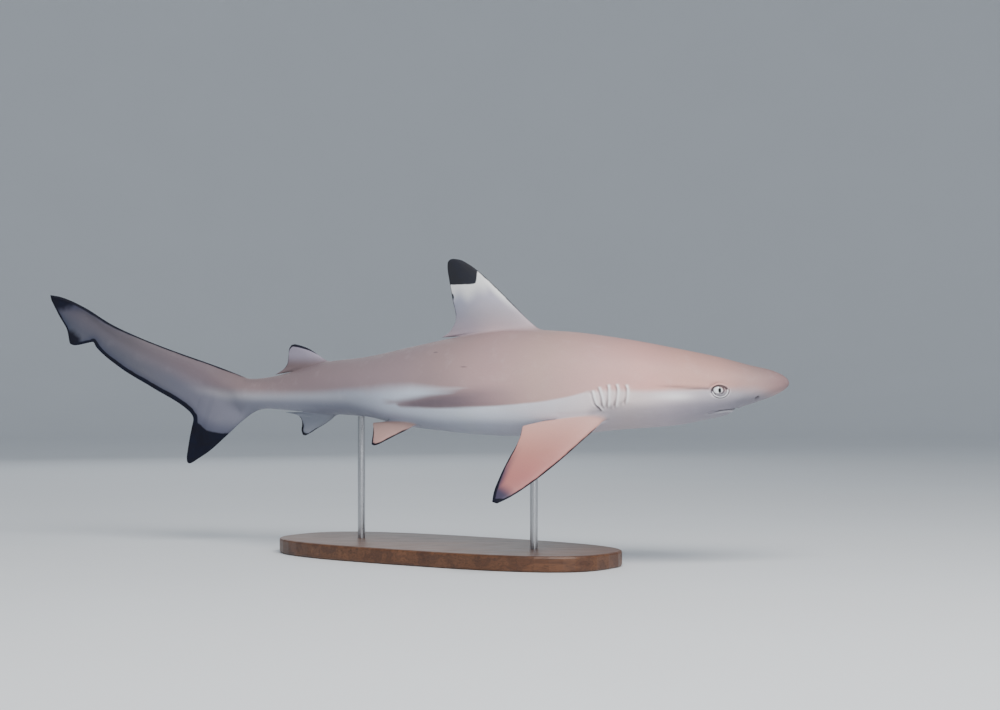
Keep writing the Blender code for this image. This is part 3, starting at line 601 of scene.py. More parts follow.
core_half = smooth([(0, 1.78), (0.05, 1.55), (0.12, 1.15), (0.3, 0.68), (0.5, 0.46),
                    (0.7, 0.32), (0.85, 0.22), (1, 0.14)])
core_deep = smooth([(0, 4.2), (0.05, 4.4), (0.12, 4.0), (0.3, 3.1), (0.5, 2.4), (0.7, 1.7),
                    (0.85, 1.1), (1, 0.5)])
tail_top, tail_under = smooth_line(TAIL_TOP), smooth_line(TAIL_UNDER)
tail_k = np.unique(np.concatenate([
    np.linspace(0.004, 0.2, 46), np.linspace(0.2, 0.31, 44), np.linspace(0.31, 0.8, 46),
    np.linspace(0.8, 0.98, 34), np.linspace(0.98, 1.0, 5)]).round(5))
tail_i = np.arange(COARSE // 2 + 1)
down = 0.5 * (1 - np.cos(math.pi * tail_i / (COARSE // 2)))     # 0 on top, 1 under
on_right, on_left = (COARSE // 4 + tail_i) % COARSE, (COARSE // 4 - tail_i) % COARSE
blunt = np.sqrt(np.maximum(1 - down ** 6, 0))
thin = np.maximum(1 - down, 0) ** 0.75
edge = 0.045 * np.sqrt(np.clip(1 - ((down - 0.93) / 0.07) ** 2, 0, 1)) \
    * (down > 0.93) + 0.045 * (down <= 0.93)
taper = np.minimum(1, np.sqrt(down * 9))
top_line = np.stack([curve(tail_k) for curve in tail_top], -1)
low_line = np.stack([curve(tail_k) for curve in tail_under], -1)
previous = coarse_ids[-1]
join_rows = list(coarse_ids[-JOIN_BODY:])
end_half = half_at(tail_start)
for k, top, low in zip(tail_k, top_line, low_line):
    s = top[0] + (low[0] - top[0]) * down
    z = top[1] + (low[1] - top[1]) * down
    length = math.hypot(*(low - top))
    y = down * length
    deep = min(float(core_deep(k)), length)
    u = y / deep * 2 - 1
    # full above, fading out softly into the web below
    oval = np.sqrt(np.maximum(1 - u * u, 0))
    soft = np.where(u < -0.2, oval, 0.98 * np.exp(-(np.maximum(u + 0.2, 0) / 1.1) ** 2))
    blend = float(step(k, 0.0, 0.1))
    core = float(core_half(k)) * (oval * (1 - blend) + soft * blend)
    fan = 0.40 - 0.26 * np.clip((-z - 4.7) / 6.1, 0, 1) if k < 0.31 else \
        np.full(s.shape, 0.40 - 0.3 * float(step(k, 0.31, 0.8)))
    rear = float(step(k, 0.2, 0.235)) if k < 0.31 else 1.0
    web = fan * (blunt * (1 - rear) + thin * rear) * taper + edge * taper
    half = (core ** 3 + web ** 3) ** (1 / 3)
    join = float(step(k, 0.0, 0.05))
    if join < 1:
        body = end_half * np.sqrt(np.maximum(1 - (2 * down - 1) ** 2, 0))
        half = half * join + body * min(4.2 / length, 1.0) * (1 - join)
    half[0] = half[-1] = 0.0
    lay = np.zeros((COARSE, 3))
    lay[on_right] = np.stack([s, -half, z], -1)
    lay[on_left] = np.stack([s, half, z], -1)
    ids = add(lay, kind=CAUDAL, weight=join)
    bridge(previous, ids)
    previous = ids
    if len(join_rows) < JOIN_BODY + JOIN_TAIL:
        join_rows.append(ids)
close_flat(np.roll(previous, -COARSE // 4))

# --- eyes: lids as rings round each eyeball, going in behind it
# the seen part of the ball: its middle, behind and over the eye's, and half sizes
OPEN_AT = (0.0024, 0.00155)
OPEN_X, OPEN_UP, OPEN_DOWN = 0.0061, 0.0046, 0.0043
# the oval of the lids round it: middle and half sizes
LID_AT = (-0.0006, 0.0008)
LID_X, LID_UP, LID_DOWN = 0.0093, 0.0064, 0.0080
PATCH_RUN, PATCH_TURN = 1.72, 0.34      # half size of the patch that is cut out
LID_LIFT, LID_CLEAR = 0.0007, 0.00025   # how far the lids are over the ball, and at least
eye_centres = {}
for name, side in (("right", -1), ("left", 1)):
    cheek = float(half_width_at(EYE_STATION, EYE_HEIGHT))
    eye_centres[name] = np.array([EYE_STATION, side * (cheek - (EYE_RADIUS - EYE_STANDS_OUT)
                                                       / PCT), EYE_HEIGHT])
    ball_out = cheek * PCT - EYE_RADIUS + EYE_STANDS_OUT     # of the eyeball's centre
    mid_angle = float(angle_of(np.array([EYE_STATION, side * cheek, EYE_HEIGHT])))
    if side < 0:
        mid_angle = mid_angle % math.tau
    last, _, _ = hole_loop("fine", *cell_range(
        "fine", EYE_STATION - PATCH_RUN, EYE_STATION + PATCH_RUN,
        mid_angle - PATCH_TURN, mid_angle + PATCH_TURN))
    outer = so_far(1)[last]
    dx = (outer[:, 0] - EYE_STATION) * PCT - OPEN_AT[0]
    dz = (outer[:, 2] - EYE_HEIGHT) * PCT - OPEN_AT[1]
    phi = np.arctan2(dz, dx)
    rim_x = OPEN_X * np.cos(phi)
    rim_z = np.where(np.sin(phi) > 0, OPEN_UP, OPEN_DOWN) * np.sin(phi)
    far = np.hypot(dx, dz) - np.hypot(rim_x, rim_z)     # loop to rim, metres

    def ball_at(x, z, radius):
        r = np.minimum(np.hypot(x, z), radius * 0.985)
        return ball_out + np.sqrt(radius ** 2 - r ** 2)

    def lid_ring(x, out, z, shade):
        """Joins a ring to the last one; metres behind, out from and over the eye."""
        lay = np.stack([EYE_STATION + x / PCT, side * out / PCT, EYE_HEIGHT + z / PCT], -1)
        ids = add(lay, kind=LIDS, shade=shade)
        bridge(last, ids)
        return ids

    for t in [*np.linspace(0.08, 0.4, 6), *np.linspace(0.43, 0.985, 28), 0.997]:
        x = dx * (1 - t) + rim_x * t + OPEN_AT[0]
        z = dz * (1 - t) + rim_z * t + OPEN_AT[1]
        s_at, z_at = EYE_STATION + x / PCT, EYE_HEIGHT + z / PCT
        plain, tint = body_point(s_at, angle_of(np.stack(
            [s_at, side * half_width_at(s_at, z_at), z_at], -1)))
        base = np.abs(plain[:, 1]) * PCT
        gap = far * (1 - t) * 1000                      # millimetres to the ball
        behind = (x - LID_AT[0]) / LID_X
        over = z - LID_AT[1]
        over = over / np.where(over > 0, LID_UP, LID_DOWN)
        oval = np.hypot(behind, over)                   # 1 along the lids
        up = step(over + 0.2 * behind, -0.12, 0.16)
        low = 1 - up
        w = step(gap, 8.0, 0.5) * (1 - 0.35 * up * step(oval, 0.9, 1.2))
        a = base * (1 - w) + np.maximum(ball_at(x, z, EYE_RADIUS + LID_LIFT),
                                        base - 0.004) * w
        # over the eye a deep fold under a brow; under it the ridge of the third lid, then
        # the lower lid and a furrow round it
        a = a + (up * (1.5 * bell(oval - 1.3, 0.13) - 0.9 * bell(oval - 0.98, 0.11))
                 + low * (-0.8 * bell(oval - 0.94, 0.055) + 1.1 * bell(oval - 1.09, 0.08)
                          - 0.8 * bell(oval - 1.28, 0.06) + 0.5 * bell(oval - 1.42, 0.08)
                          + 0.25 * bell(gap - 1.4, 0.6))) / 1000
        a = np.maximum(a, ball_at(x, z, EYE_RADIUS + LID_CLEAR))
        fade = 1 - step(behind, 0.45, 1.0)
        wide = 0.15 * step(behind, -0.5, 0.3)
        # painted shade in the grooves; the dark arc over the eye is partly shade, partly a
        # dark lid rim
        dark = np.maximum.reduce([
            up * between(oval, 0.74, 0.82, 1.12 + wide, 1.22 + wide),
            0.26 * low * (1 - step(oval, 0.85, 1.0)),
            0.6 * low * bell(oval - 0.94, 0.05), 0.2 * low * bell(gap, 0.3),
            0.85 * low * fade * bell(oval - 1.28, 0.065), tint[:, 0]])
        # painted highlights on the ridges of the third lid, the lower lid and the brow
        light = np.maximum.reduce([
            1.1 * low * bell(oval - 1.09, 0.085), 0.4 * low * bell(gap - 1.5, 0.5),
            0.22 * up * bell(oval - 1.26, 0.08), 0.3 * low * bell(oval - 1.42, 0.08),
            tint[:, 1]])
        last = lid_ring(x, a, z, np.stack([dark, light], -1))
    # the lid's edge and the hidden inner wall behind the eyeball, painted dark as shade
    for reach, swell, shadow in ((1.0, 0.0002, 0.55), (1.06, 0.0004, 1), (1.25, 0.001, 1)):
        x, z = rim_x * reach + OPEN_AT[0], rim_z * reach + OPEN_AT[1]
        last = lid_ring(x, ball_at(x, z, EYE_RADIUS + swell), z, (shadow, 0.0))
    wall = EYE_RADIUS + EYE_WALL
    for polar in (80, 110, 140, 166):
        r = wall * math.sin(math.radians(polar))
        out = ball_out + wall * math.cos(math.radians(polar))
        last = lid_ring(r * np.cos(phi), np.full(len(phi), out), r * np.sin(phi),
                        (1.0, 0.0))
    pole = add([[EYE_STATION, side * (cheek - (2 * EYE_RADIUS - EYE_STANDS_OUT + EYE_WALL)
                                      / PCT), EYE_HEIGHT]], kind=LIDS, shade=(1.0, 0.0))[0]
    for i in range(len(last)):
        faces.append((last[i], last[(i + 1) % len(last)], pole))


# --- faces of the body, finer round the small details
def small_details(s, angle, z, a):
    """Near the gills, the mouth or a nostril."""
    d, shown = mouth_offset(s, angle)
    return ((np.abs(np.cos(angle)) > 0.3) & (s > 16.4) & (s < 22.0) & (z > -3.75)
            & (z < 0.15)
            | (np.abs(d) < 6.0) & (shown > 0) & (np.sin(angle) < -0.3)
            | (np.hypot((s - NOSTRIL[0]) * 0.9, z - NOSTRIL[1]) < 0.75)
            & (np.abs(a) > 1.2))


def in_hole(kind, r, c, n):
    """Whether a cell lies in an opened block."""
    return any(r0 <= r < r1 and (c - c0) % n < c1 - c0 for r0, r1, c0, c1 in holes[kind])


mid_s = (fine_s[:-1] + fine_s[1:]) / 2
mid_t = fine_t + math.pi / FINE
spread_s, spread_t = np.broadcast_arrays(mid_s[:, None], mid_t[None, :])
centre = ring_point(spread_s, spread_t)
flag = small_details(spread_s, spread_t, centre[..., 2], centre[..., 1])
closed = np.array([[in_hole("fine", r, c, FINE) for c in range(FINE)]
                   for r in range(len(mid_s))])
near_hole = closed.copy()                       # a hole's edges stay whole
near_hole[1:] |= closed[:-1]
near_hole[:-1] |= closed[1:]
near_hole |= np.roll(closed, 1, 1) | np.roll(closed, -1, 1)
flag &= ~near_hole
cells = list(zip(*np.nonzero(flag)))
cuts = range(1, CUT)


def sides_of(r, c):
    """A cell's edges: along the body on both sides, round it at both ends."""
    return (r, c, "run"), (r, (c + 1) % FINE, "run"), (r, c, "turn"), (r + 1, c, "turn")


def spot(r, c, m, k):
    """Station and angle of a point inside a cell or on its edge."""
    run = fine_s[min(r + 1, len(fine_s) - 1)] - fine_s[r]
    return fine_s[r] + run * m / CUT, fine_t[c] + math.tau / FINE * k / CUT


def add_spots(spots):
    lay, shade = body_point(*np.array(spots).T)
    return add(lay, shade=shade)


wanted = list(dict.fromkeys(key for r, c in cells for key in sides_of(r, c)))
added = add_spots([spot(r, c, m * (way == "run"), m * (way == "turn"))
                   for r, c, way in wanted for m in cuts]).reshape(-1, CUT - 1).tolist()
border = dict(zip(wanted, added))               # added points on cell edges
inner = add_spots([spot(r, c, m, k) for r, c in cells for m in cuts for k in cuts])
for (r, c), middle in zip(cells, inner.reshape(-1, CUT - 1, CUT - 1)):
    grid = np.empty((CUT + 1, CUT + 1), int)
    grid[::CUT, ::CUT] = fine_ids[r:r + 2][:, [c, (c + 1) % FINE]]
    grid[1:CUT, 0], grid[1:CUT, CUT], grid[0, 1:CUT], grid[CUT, 1:CUT] = (
        border[key] for key in sides_of(r, c))
    grid[1:CUT, 1:CUT] = middle
    for i in range(CUT):
        for j in range(CUT):
            faces.append((grid[i, j], grid[i, j + 1], grid[i + 1, j + 1], grid[i + 1, j]))
for r in range(len(mid_s)):
    for c in range(FINE):
        if closed[r, c] or flag[r, c]:
            continue
        cn = (c + 1) % FINE
        right, left, first, second = (border.get(key, []) for key in sides_of(r, c))
        faces.append((fine_ids[r, c], *first, fine_ids[r, cn], *left, fine_ids[r + 1, cn],
                      *second[::-1], fine_ids[r + 1, c], *right[::-1]))
for r in range(len(coarse_s) - 1):
    for c in range(COARSE):
        if in_hole("coarse", r, c, COARSE):
            continue
        cn = (c + 1) % COARSE
        loop = [coarse_ids[r, c], coarse_ids[r, cn], coarse_ids[r + 1, cn],
                coarse_ids[r + 1, c]]
        if r == 0:                              # finer points on its front edge
            loop.insert(1, fine_ids[-1, (2 * c + 1) % FINE])
        faces.append(tuple(loop))

points, layouts = so_far(0), so_far(1)
join_rows = np.array(join_rows)
for field in (points, layouts):
    for _ in range(JOIN_ROUNDS):
        row = field[join_rows]
        row[1:-1] = 0.5 * row[1:-1] + 0.25 * (row[:-2] + row[2:])
        field[join_rows] = row
used = np.zeros(len(points), bool)
used[[int(i) for f in faces for i in f]] = True
number = np.cumsum(used) - 1
points, layouts, kinds, weights, shades, locals_ = (
    field[used] for field in (points, layouts, *map(so_far, range(2, 6))))
mesh = bpy.data.meshes.new("skin")
mesh.from_pydata(points.tolist(), [], [tuple(int(number[i]) for i in f) for f in faces])
bm = bmesh.new()
bm.from_mesh(mesh)
bmesh.ops.recalc_face_normals(bm, faces=bm.faces[:])
if bm.calc_volume(signed=True) < 0:
    bmesh.ops.reverse_faces(bm, faces=bm.faces[:])
print("skin:", len(bm.verts), "points,", sum(len(f.verts) - 2 for f in bm.faces),
      "triangles,", sum(1 for e in bm.edges if not e.is_manifold), "open edges,",
      round(bm.calc_volume() * 1000, 2), "litres")
bm.to_mesh(mesh)
bm.free()
mesh.shade_smooth()

# ---------------------------------------------------------- skin: markings
# Every vertex gets its tones and its distances (mm) inside each marking; the
# material draws the edges between them.
S, _, Z = layouts.T


def tones(rows, x, depth=2.2, warmth=(1.01, 0.998, 0.96)):
    """Screen colours (0-255) from rows of place and colour, made linear and deeper."""
    screen = np.stack([through(x, [(row[0], row[i]) for row in rows])
                       for i in (1, 2, 3)], -1) / 255
    colour = np.where(screen <= 0.04045, screen / 12.92, ((screen + 0.055) / 1.055) ** 2.4)
    grey = colour @ np.array([0.25, 0.6, 0.15])
    deep = grey[:, None] + (colour - grey[:, None]) * depth
    return np.clip(deep * np.array(warmth), 0.002, 0.95)


UPPER_TONES = [(0, 146, 131, 132), (4, 161, 147, 146), (8, 183, 162, 159),
               (12, 195, 172, 168), (16, 199, 175, 173), (21, 195, 175, 174),
               (27, 185, 170, 168), (33, 171, 157, 158), (39, 158, 147, 148),
               (45, 148, 139, 142), (52, 144, 136, 139), (60, 138, 130, 133),
               (74, 133, 125, 127), (80, 123, 117, 121), (88, 107, 104, 108),
               (94, 85, 84, 89), (100, 69, 69, 76)]
LOWER_TONES = [(0, 154, 149, 153), (6, 168, 166, 171), (10, 188, 185, 190),
               (14, 215, 209, 213), (18, 222, 215, 216), (22, 228, 223, 226),
               (26, 230, 230, 236), (36, 236, 240, 248), (46, 210, 214, 223),
               (55, 168, 171, 180), (66, 155, 157, 166), (74, 131, 132, 140),
               (80, 107, 108, 116), (88, 90, 91, 97), (94, 73, 75, 82),
               (100, 62, 65, 73)]
upper = tones(UPPER_TONES, S)
lower = tones(LOWER_TONES, S)
ridge = np.where(S < TAIL_TOP[0][1], back_at(S),
                 tail_top[1](through(S, [(s, share) for share, s, _ in TAIL_TOP])))
pale_line = smooth([(0, -0.5), (3.8, -0.75), (9, -0.62), (12, -0.72), (15, -0.82),
                    (18, -0.8), (20, -0.85), (21.5, -0.98), (23.3, -1.04), (25, -1.15),
                    (28, -1.0), (31.5, -0.9), (34.8, -0.85),
                    (38.5, -0.73), (41.5, -0.6), (45, -0.73), (49, -0.84), (54, -1.07),
                    (58.5, -1.36), (64, -1.56), (70, -1.74), (76, -1.6), (80, -0.6),
                    (85, 1.6), (90, 3.9), (95, 6.8), (100, 9.6)])(S)
pale_line = pale_line - 0.9 * (1 - step(S, 1.0, 4.5))
upper *= (1.08 - 0.4 * np.clip((Z - pale_line) / (ridge - pale_line), 0, 1)[:, None] ** 1.3)
tan_mm = (Z - pale_line) * MM * (1 - 0.4 * between(S, 33, 37, 48, 56))
wedge_top = smooth([(22, -0.9), (25, -0.95), (28, -0.9), (31.5, -0.7), (34.8, -1.0),
                    (38.5, -1.5), (43.2, -2.15), (46, -2.5)])(S)
wedge_low = smooth([(21, -0.5), (22, -0.9), (25, -1.7), (28, -2.24), (31.5, -2.58),
                    (35, -2.8), (38.8, -2.88), (45.2, -2.86), (46, -2.5)])(S)
above, below = (Z - wedge_low) * MM, (wedge_top - Z) * MM
wedge_mm = np.minimum(np.minimum(above * 1.8, below + 9 * (1 - step(S, 33, 38))),
                      (46.4 - S) * MM * 0.3)
tan_mm = np.maximum(tan_mm, wedge_mm + 2 * step(S, 36, 40) - 40 * (S < 21))
soft_mm = through(S, [(0, 11), (5, 10), (9, 5), (16, 5), (22, 3.5), (30, 3), (38, 4),
                      (44, 6), (60, 7), (74, 10), (80, 17)])
dark = between(S, 27, 37, 42.5, 47.5) * step(above, -3.5, 1.5) * step(below, -10, 7)
shadow_line = smooth([(0, -1.0), (6, -1.5), (9.8, -1.7), (14.8, -2.1), (17.5, -2.3),
                      (21.5, -2.7), (22.5, -3.5), (25, -4.0), (32, -4.3), (40, -4.3),
                      (44, -4.0), (50, -3.3), (56, -2.7), (64, -2.75), (72, -2.9),
                      (100, -3)])(S)
# painted shade on the underside, below shadow_line
under = step(shadow_line - Z, -0.6, 0.8) * (1 - step(S, 57, 70))
lower = lower * (1 - under[:, None] * np.array([0.4, 0.39, 0.35]))

NO_MARK, ALL_UPPER = -50.0, 30.0                # millimetres, far past any edge
black_mm = np.full(len(S), NO_MARK)
smoke = dark * 0.5


def mark(where, *insides):
    """Black marks on a fin, each as the distance (mm) inside it."""
    for inside in insides:
        inside = np.broadcast_to(inside, S.shape)[where]
        black_mm[where] = np.maximum(black_mm[where], inside)


def into(where, weight, colour):
    """Moves both tones towards a colour."""
    w = np.broadcast_to(weight, S.shape)[where][:, None]
    for tone in (upper, lower):
        tone[where] = tone[where] * (1 - w) + np.broadcast_to(colour, tone.shape)[where] * w


def one_tone(r, g, b, depth=2.2):
    return tones([(0, r, g, b)], np.zeros(1), depth)


def edges_of(kind, x, y, v0=0.1):
    """Which vertices a fin has, and how far (mm) they are from both its edges."""
    lead = outline(EDGES[kind][0])
    return (kinds == kind, from_line(x, y, lead),
            from_line(x, y, outline(EDGES[kind][1], v0) + [lead[-1]]))


def paint_paired(top_pairs, bottom_pairs):
    """Tones of the upper and the under side of a paired fin."""
    w = step(top_side, -0.6, 0.6)[:, None]
    into(is_fin, step(weights, 0.3, 1.0),
         tones(top_pairs, out, 1.7) * w + tones(bottom_pairs, out) * (1 - w))
    tan_mm[is_fin] = tan_mm[is_fin] * (1 - weights[is_fin])


is_fin, le, te = edges_of(DORSAL, S, Z, 0.0)
across, over = S - 37.6, Z - 11.7
corner = np.minimum(across, over) - 0.12 * np.exp(-np.abs(across - over) / 0.35)
mark(is_fin, corner * MM, 1.2 - te - 20 * (Z < 7.8), 2.2 * step(Z, 5.5, 9.5) - 1.2 - le,
     3.8 - np.hypot(S - 41.5, (Z - 10.2) * 0.75) * MM)
band = step(Z - 0.55 * (38 - S) * (S < 38) + 0.3 * np.sin(2.3 * S), 9.2, 11.6)
band = np.maximum(band, step(le, 11, 2) * step(Z, 8.0, 11.0))[:, None]
body_tone = tones([(5, 178, 166, 170), (8, 176, 173, 180), (10, 186, 186, 196)], Z)
front = step(te, 2, 60)[:, None]                # greyer behind, warmer in front
body_tone = body_tone * (np.array([0.84, 0.91, 0.95]) * (1 - front)
                         + np.array([1.06, 1.04, 1.0]) * front)
into(is_fin, weights, body_tone * (1 - band) + band * one_tone(250, 252, 255))
tan_mm[is_fin] = ALL_UPPER

is_fin, le, te = edges_of(DORSAL2, S, Z)
mark(is_fin, 4.4 * step(Z, 3.0, 4.5) - 0.4 - le)
mark(is_fin & (Z > 1.4), 1.0 + 2.2 * step(Z, 3.4, 4.4) - te)
into(is_fin, weights * step(Z, 1.8, 3.4) * 0.8, one_tone(160, 158, 168))
tan_mm[is_fin] = ALL_UPPER

is_fin, le, te = edges_of(ANAL, S, Z)
mark(is_fin, 1.6 + 2.6 * step(-Z, 4.9, 6.0) - te - 20 * (Z > -4.6), (-6.7 - Z) * MM,
     0.9 * step(-Z, 5.0, 6.5) - le)
smoke[is_fin] = 0.6 * (step(9 - te, 0, 9) * step(-Z, 4.8, 6.0))[is_fin]
into(is_fin, weights * 0.9, one_tone(151, 155, 165, 1.5))
tan_mm[is_fin] = -ALL_UPPER

along, out, top_side = locals_.T
is_fin, le, te = edges_of(PECTORAL, along, out)
mark(is_fin, (out - 12.2) * MM,
     0.3 + 2.2 * step(out, 3.5, 5.5) + 2.0 * step(out, 7, 11.5) - te - 20 * (out < 3.4),
     1.4 * step(out, 0.0, 4.0) + 0.4 * step(out, 6, 12) - 0.4 - le)
smoke[is_fin] = np.maximum.reduce([
    0.95 * step(out + 0.8 * (along - 10.5), 9.5, 11.7),
    0.9 * step(14 - te, 0, 12) * step(out, 3.5, 9.5),
    # painted shadow along the free inner margin where it lies over the body
    0.6 * step(1.3 - te, 0, 0.8) * (out < 3.4)])[is_fin]
paint_paired([(0, 196, 170, 166), (3, 184, 152, 147), (6, 169, 132, 128),
              (9, 160, 120, 118), (13, 150, 120, 120)],
             [(0, 210, 206, 212), (8, 214, 212, 218), (13, 200, 198, 206)])

is_fin, le, te = edges_of(PELVIC, along, out)
mark(is_fin, (out - 3.62) * MM,
     1.6 + 1.2 * step(out, 0.9, 3.0) - te - 20 * (out < 0.8),
     1.2 * step(out, 0.0, 1.5) + 0.5 * step(out, 1.5, 3.6) - 0.4 - le)
smoke[is_fin] = 0.6 * (step(6 - te, 0, 6) * step(out, 1.8, 3.4))[is_fin]
paint_paired([(0, 178, 160, 157), (4, 172, 148, 145)],
             [(0, 198, 198, 208), (4, 190, 190, 200)])

is_fin = kinds == CAUDAL
dorsal_edge = from_line(S, Z, outline(TAIL_TOP, 0, 1, 40))
fork = from_line(S, Z, outline(TAIL_UNDER, 0.3, 0.83, 30))
notch = from_line(S, Z, outline(TAIL_UNDER, 0.83, 1, 20))
cut_z = through(S, [(74.0, -6.9), (75.6, -6.85), (77.6, -6.85), (79.2, -6.45),
                    (80.4, -5.6), (81.2, -4.5), (81.8, -3.9)])
mark(is_fin, 2.2 * step(S, 73.2, 77.5) + 2.2 * step(S, 86, 96) - 0.4 - dorsal_edge,
     7.2 - 1.6 * step(S, 82, 92) - fork,
     4.2 - 1.2 * step(Z, 5.0, 6.0) - notch - 30 * (S < 94.6),
     8.0 - from_line(S, Z, outline(TAIL_UNDER, 0.23, 0.3, 14)),
     (Z - 8.9 - 0.4 * (98.9 - S)) * MM * 0.12,
     (17.0 - np.hypot(S - 97.4, Z - 5.0) * MM) * 0.17, (cut_z - Z) * MM * 0.5)
smoke[is_fin] = np.maximum.reduce([
    0.5 * step(fork, 15, 4), 0.5 * step(dorsal_edge, 9, 2) * step(S, 86, 96),
    0.7 * step(Z, 8.4, 9.8), 0.6 * step(notch, 10, 1) * (S > 94),
    0.6 * step((cut_z - Z) * MM, -24, 2)])[is_fin]
stripe_z = through(S, [(60, -1.9), (70, -2.1), (76, -2.0), (84, -0.6), (100, 4)])
stripe = bell(Z - stripe_z, 0.6) * (1 - step(S, 75, 83)) * step(S, 48, 60)

for name, values in (
        ("lay", layouts * PCT), ("upper", upper), ("lower", lower), ("tan_mm", tan_mm),
        ("soft_mm", soft_mm), ("smoke", smoke), ("black_mm", black_mm),
        ("cave", shades[:, 0]),
        ("pale", np.maximum(shades[:, 1], 0.22 * stripe * (kinds != LIDS))),
        ("fin", np.where((kinds == BODY) | (kinds == LIDS), 0, weights))):
    kind, field = "FLOAT", "value"
    if name == "lay":
        kind, field = "FLOAT_VECTOR", "vector"
    elif name in ("upper", "lower"):
        kind, field = "FLOAT_COLOR", "color"
        values = np.concatenate([np.clip(values, 0, 1), np.ones((len(values), 1))], 1)
    mesh.attributes.new(name, kind, "POINT")
    mesh.attributes[name].data.foreach_set(field, np.ascontiguousarray(
        values, dtype=np.float32).ravel())


def new_object(name, data):
    obj = bpy.data.objects.new(name, data)
    bpy.context.scene.collection.objects.link(obj)
    return obj


skin = new_object("skin", mesh)


# --------------------------------------------------------------- materials
class Nodes:
    """Short names for the nodes of one material."""

    def __init__(self, name):
        self.mat = bpy.data.materials.new(name)
        self.mat.use_nodes = True
        self.tree = self.mat.node_tree
        self.bsdf = self.tree.nodes["Principled BSDF"]

    def new(self, kind, inputs=(), **settings):
        node = self.tree.nodes.new(kind)
        for key, value in settings.items():
            setattr(node, key, value)
        for key, value in dict(inputs).items():
            self.put(node.inputs[key], value)
        return node

    def put(self, socket, value):
        if isinstance(value, bpy.types.NodeSocket):
            self.tree.links.new(value, socket)
        elif isinstance(value, tuple) and socket.type == "RGBA" and len(value) == 3:
            socket.default_value = (*value, 1.0)
        else:
            socket.default_value = value

    def surface(self, **values):
        for name, value in values.items():
            self.put(self.bsdf.inputs[name.replace("_", " ")], value)

    def attribute(self, name, part="Fac"):
        return self.new("ShaderNodeAttribute", attribute_name=name).outputs[part]

    def place(self):
        return self.new("ShaderNodeTexCoord").outputs["Object"]

    def vector(self, operation, *values, result=0):
        return self.new("ShaderNodeVectorMath", dict(enumerate(values)),
                        operation=operation).outputs[result]

    def math(self, operation, a, b=0.0, c=0.0):
        return self.new("ShaderNodeMath", {0: a, 1: b, 2: c},
                        operation=operation).outputs[0]

    def add(self, a, b):
        return self.math("ADD", a, b)

    def less(self, a, b):
        return self.math("SUBTRACT", a, b)

    def times(self, a, b):
        return self.math("MULTIPLY", a, b)

    def fade(self, value, low, high, to_low=0.0, to_high=1.0):
        return self.new("ShaderNodeMapRange",
                        {"Value": value, "From Min": low, "From Max": high,
                         "To Min": to_low, "To Max": to_high},
                        interpolation_type="SMOOTHSTEP").outputs[0]

    def noise(self, where, scale, detail=3.0, roughness=0.55, stretch=None):
        if stretch:
            where = self.new("ShaderNodeMapping", {"Vector": where, "Scale": stretch}
                             ).outputs[0]
        return self.new("ShaderNodeTexNoise",
                        {"Vector": where, "Scale": scale, "Detail": detail,
                         "Roughness": roughness}).outputs["Fac"]

    def mix(self, share, a, b, blend="MIX"):
        node = self.new("ShaderNodeMix", data_type="RGBA", blend_type=blend)
        self.put(node.inputs["Factor"], share)
        for socket in node.inputs:
            if socket.type == "RGBA":
                self.put(socket, a if socket.name == "A" else b)
        return [o for o in node.outputs if o.type == "RGBA"][0]

    def bump(self, height, strength, distance):
        return self.new("ShaderNodeBump", {"Height": height, "Strength": strength,
                                           "Distance": distance}).outputs[0]


def linear(r, g, b):
    return tuple(float(v) for v in tones([(0, r, g, b)], np.zeros(1), 1.0, (1, 1, 1))[0])


m = Nodes("shark_skin")
lay = m.attribute("lay", "Vector")
wobble = m.less(m.noise(lay, 60, 3), 0.5)
broad = m.noise(lay, 9, 3)
mottle = m.noise(lay, 45, 4, 0.6)
grain = m.noise(lay, 900, 2, 0.6)
drift = m.less(m.noise(lay, 14, 2), 0.5)
tan = m.add(m.attribute("tan_mm"), m.times(drift, 6.0))
tan = m.math("DIVIDE", tan, m.attribute("soft_mm"))
colour = m.mix(m.fade(tan, -1.0, 1.0), m.attribute("lower", "Color"),
               m.attribute("upper", "Color"))
colour = m.mix(m.fade(broad, 0.3, 0.7, 0.0, 0.14), colour, linear(120, 112, 122))
flecks = m.times(m.fade(mottle, 0.52, 0.78, 0.0, 0.08),
                 m.fade(m.attribute("fin"), 0.0, 1.0, 1.0, 0.3))
colour = m.mix(flecks, colour, linear(226, 218, 220))
colour = m.mix(m.fade(grain, 0.35, 0.75, 0.0, 0.10), colour, linear(96, 90, 100))
# dusky marks, and the painted shadow by the pectoral fins' inner margins
smoke = m.times(m.attribute("smoke"), m.fade(broad, 0.2, 0.8, 0.9, 1.1))
colour = m.mix(smoke, colour, linear(48, 54, 78))
# painted highlights on gill flaps, lid folds and cheek, with the pale mouth band and tail
# stripe
colour = m.mix(m.times(m.attribute("pale"), 0.85), colour, linear(252, 248, 250))
# two small old nicks on the right of the back
for s, a, z, long in ((40.6, -4.3, 3.55, 0.0055), (35.8, -5.85, 1.85, 0.006)):
    off = m.vector("SUBTRACT", lay, (s * PCT, a * PCT, z * PCT))
    off = m.vector("MULTIPLY", off, (1 / long, 50.0, 1 / 0.0012))
    far = m.vector("LENGTH", off, result="Value")
    colour = m.mix(m.fade(far, 0.3, 1.2, 0.55, 0.0), colour, linear(86, 74, 84))
edge = m.add(m.attribute("black_mm"), m.times(wobble, 2.2))
ink = m.fade(edge, -0.7, 0.9)
tint = m.mix(m.fade(mottle, 0.3, 0.7), linear(3, 7, 22), linear(8, 14, 34))
colour = m.mix(m.times(ink, 0.97), colour, tint)
